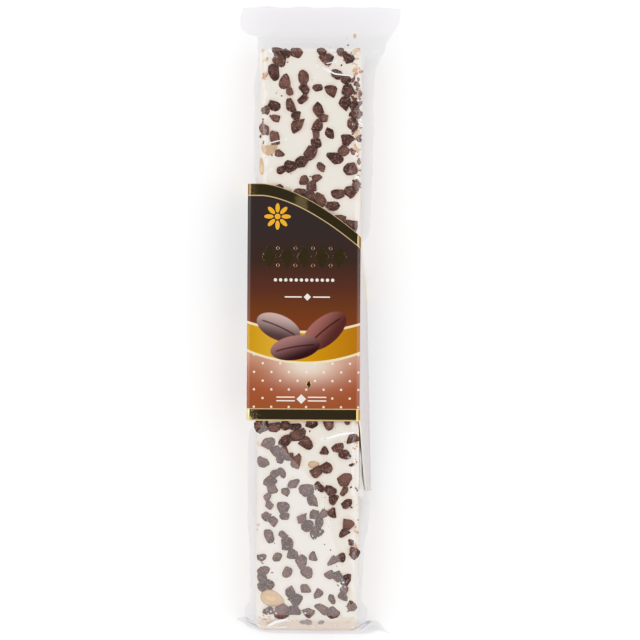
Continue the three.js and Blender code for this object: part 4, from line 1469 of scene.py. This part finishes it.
foilPlan = {
    "soft": 0.05, "tab": (40.5, 39.5), "topLine": (-0.1, 0.2, 0.1), "topEdgeHighlight": (-0.5, 0.2, 0.06),
    "footLine": (-0.1, 0.15, 0.1), "footEdgeHighlight": (-0.5, 0.46, 0.08), "lowerHalf": (0, -5), "upperHalf": (0, 5),
    "leftFold": 0.2, "leftFoldReach": (1.5, 0.7), "rightFold": 38.1, "rightFoldReach": (1.2, 0.5),
    "paler": (0, 20), "rightEnd": (20, 30), "lean": 0.75, "corner": (2.9, 2.2), "specks": (7.5, 3),
    "speckGrain": (0.58, 0.64), "onFront": (-1.2, -0.8), "foldSheenLeft": (-0.35, 0.35, 0.3),
    "foldSheenRight": (37.6, 38.4, 0.3), "foldSheenGrain": (0.45, 0.7), "streaks": (0.36, 0.62),
    "streaksU": (13, 24, 5), "scuffsU": (5, 2), "scuffGrain": (0.47, 0.55),
    "polish": 0.03, "scuffed": 0.17, "inkRoughness": 0.2, "grain": (7, 0.35, 0.6),
    "raised": 0.3, "grainHeight": 0.1, "bump": (0.08, 0.0002),
}


# Gold foil along both cut edges, with thin bright lines beside it: a printed line at the foil's inner border
# and a painted highlight along the card's cut edge.
# Gives where it lies, where its metal shows and the colours with it
def printFoil(u, v, fromTop, fromBottom, grain, color):
    width, soft = sleeve["borderWidth"], foilPlan["soft"]
    beforeTab, lowerHalf = ease(u, *foilPlan["tab"]), ease(v, *foilPlan["lowerHalf"])

    def linesAt(away, line, edge):
        low, high, blur = foilPlan[line]
        return either(within(away, width + low, width + high, blur), within(away, *foilPlan[edge]))

    foil = either(ease(fromTop, width + soft, width - soft),
                  mul(ease(fromBottom, width + soft, width - soft), beforeTab))
    lines = either(linesAt(fromTop, "topLine", "topEdgeHighlight"),
                   mul(linesAt(fromBottom, "footLine", "footEdgeHighlight"), beforeTab))
    # The foil is darker where the card is folded, more so at the upper edge
    nearFold = either(ease(absolute(sub(u, foilPlan["leftFold"])), *foilPlan["leftFoldReach"]),
                     ease(absolute(sub(u, foilPlan["rightFold"])), *foilPlan["rightFoldReach"]))
    foldColor = mixColor(ease(v, *foilPlan["paler"]), foils["end"], foils["fold"])
    foldColor = mixColor(mul(ease(u, *foilPlan["rightEnd"]), lowerHalf), foldColor, foils["right"])
    # At the foot's left end a painted reflection makes it pale in a slanting corner, with specks beyond it
    fromCorner = add(u, mul(fromBottom, foilPlan["lean"]))
    specks = both(ease(fromCorner, *foilPlan["specks"]), ease(grain["Grain"], *foilPlan["speckGrain"]))
    paintedGlare = both(either(ease(fromCorner, *foilPlan["corner"]), specks), lowerHalf, foil, beforeTab,
                  ease(u, *foilPlan["onFront"]))
    color = mixColor(foil, color, mixColor(nearFold, foils["flat"], foldColor))
    color = printOver(paintedGlare, 0.85, color, "paintedGlare")
    color = printOver(lines, 0.85, color, "line")
    metal = mul(foil, sub(1, mul(either(lines, paintedGlare), 0.7)))
    # Painted highlight along both front folds, flecked by the grain
    foldSheen = mul(either(within(u, *foilPlan["foldSheenLeft"]), within(u, *foilPlan["foldSheenRight"])),
               ease(grain["Grain"], *foilPlan["foldSheenGrain"]))
    return foil, metal, printOver(foldSheen, 0.15, color, "foldSheen")


# The foil is scuffed in streaks, most of all half way across and beside the left fold
def foilRoughness(u, v, foil, grain):
    streaks = both(within(u, *foilPlan["streaksU"]), ease(grain["Cloud"], *foilPlan["streaks"]),
                   ease(v, *foilPlan["upperHalf"]))
    scuffs = mul(ease(u, *foilPlan["scuffsU"]), ease(grain["Grain"], *foilPlan["scuffGrain"]))
    rough = add(foilPlan["polish"], mul(either(streaks, scuffs), foilPlan["scuffed"]))
    return mixColor(foil, (foilPlan["inkRoughness"],) * 3 + (1,), rough)


def makePrintMaterial():
    material, tree, shader = newMaterial("printedCard", Roughness=0.2, Specular_IOR_Level=0.35)
    places = []
    for name in ("card", "border"):
        layer = tree.nodes.new("ShaderNodeUVMap")
        layer.uv_map = name
        parts = split(layer.outputs["UV"])
        places += [parts["X"], parts["Y"]]
    u, v, fromTop, fromBottom = places
    grain = addGrain(tree, *foilPlan["grain"])
    front = printWords(u, v, printBeans(u, v, printFields(u, v)))
    color = mixColor(ease(u, *printPlan["frontEnd"]), printPale(u, v, fromTop, grain), front)
    foil, metal, color = printFoil(u, v, fromTop, fromBottom, grain, color)
    feed(color, shader.inputs["Base Color"])
    feed(metal, shader.inputs["Metallic"])
    feed(foilRoughness(u, v, foil, grain), shader.inputs["Roughness"])
    height = add(mul(foil, foilPlan["raised"]), mul(grain["Height"], foilPlan["grainHeight"]))
    addBump(shader, height, *foilPlan["bump"])
    return material


cardFinish = {"dark": (0.70, 0.67, 0.62, 1), "light": (0.80, 0.78, 0.74, 1), "grain": (5, 0.4, 0.5),
              "bump": (0.3, 0.0002)}


def makeCardMaterial():
    material, tree, shader = newMaterial("bareCard", Roughness=0.8)
    grain = addGrain(tree, *cardFinish["grain"])
    feed(mixColor(grain["Grain"], cardFinish["dark"], cardFinish["light"]), shader.inputs["Base Color"])
    addBump(shader, grain["Height"], *cardFinish["bump"])
    return material


labelSleeve = makeLabelSleeve()
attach(labelSleeve, "root")
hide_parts("label_sleeve")
print("label sleeve:", len(labelSleeve.data.polygons), "faces")

# Raised ornaments on the front: a yellow rosette, a row of gold lozenges and dots, and a small lozenge
ornament = {
    "height": 0.06, "bevel": 0.12, "rosette": (-10.8, 38.9), "petals": 8, "petalAway": 2.9,
    "petal": (1.584, 0.72), "heart": 0.95, "rowMiddle": (-1.75, 25.4), "step": 5.9, "count": 5,
    "lozenge": (2.5, 3.9), "dot": 0.55, "dotAway": 2.9, "small": (0.1, -17.4, 0.9, 1.5),
}


goldFinish = {"dark": (0.74, 0.48, 0.17, 1), "light": (0.88, 0.66, 0.30, 1), "grain": (2, 0.25, 0.6),
              "bump": (0.12, 0.0002)}


def makeGoldMaterial():
    material, tree, shader = newMaterial("goldFoil", Roughness=0.08, Metallic=1.0)
    grain = addGrain(tree, *goldFinish["grain"])
    feed(mixColor(grain["Cloud"], goldFinish["dark"], goldFinish["light"]), shader.inputs["Base Color"])
    addBump(shader, grain["Height"], *goldFinish["bump"])
    return material


def raisedShape(material, sides, x, y, halfWidth, halfHeight, turn=0.0):
    deselectAll()
    bpy.ops.mesh.primitive_cylinder_add(vertices=sides, radius=1, depth=1)
    piece = bpy.context.object
    bpy.ops.object.mode_set(mode="EDIT")
    bpy.ops.mesh.select_all(action="SELECT")
    bpy.ops.mesh.bevel(offset=ornament["bevel"], segments=2, affect="EDGES")
    bpy.ops.object.mode_set(mode="OBJECT")
    moveMesh(piece, Matrix.Diagonal((halfWidth, halfHeight, ornament["height"] * 2, 1)),
             Matrix.Rotation(turn, 4, "Z"), Matrix.Translation((x, y, sleeve["height"])), *toFrame)
    piece.data.materials.append(material)
    return piece


def makeOrnaments():
    yellow = newMaterial("yellowPrint", Roughness=0.3, Base_Color=ink(*inks["yellow"]),
                         Specular_IOR_Level=0.35)[0]
    gold = makeGoldMaterial()
    x, y = ornament["rosette"]
    pieces = []
    for petal in range(ornament["petals"]):
        turn = 2 * math.pi * petal / ornament["petals"]
        pieces.append(raisedShape(yellow, 20, x + ornament["petalAway"] * math.cos(turn),
                                  y + ornament["petalAway"] * math.sin(turn), *ornament["petal"], turn))
    pieces.append(raisedShape(yellow, 24, x, y, ornament["heart"], ornament["heart"]))
    middle, y = ornament["rowMiddle"]
    for i in range(ornament["count"]):
        x = middle + (i - (ornament["count"] - 1) / 2) * ornament["step"]
        pieces.append(raisedShape(gold, 4, x, y, *ornament["lozenge"]))
        if i:
            pieces += [raisedShape(gold, 16, x - ornament["step"] / 2, y + side * ornament["dotAway"],
                                   ornament["dot"], ornament["dot"]) for side in (1, -1)]
    pieces.append(raisedShape(gold, 4, *ornament["small"]))
    return joinPieces(pieces, "foilOrnaments")


foilOrnaments = makeOrnaments()
smoothed(foilOrnaments, 30)
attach(foilOrnaments, "root")
print("foil ornaments:", len(foilOrnaments.data.polygons), "faces")
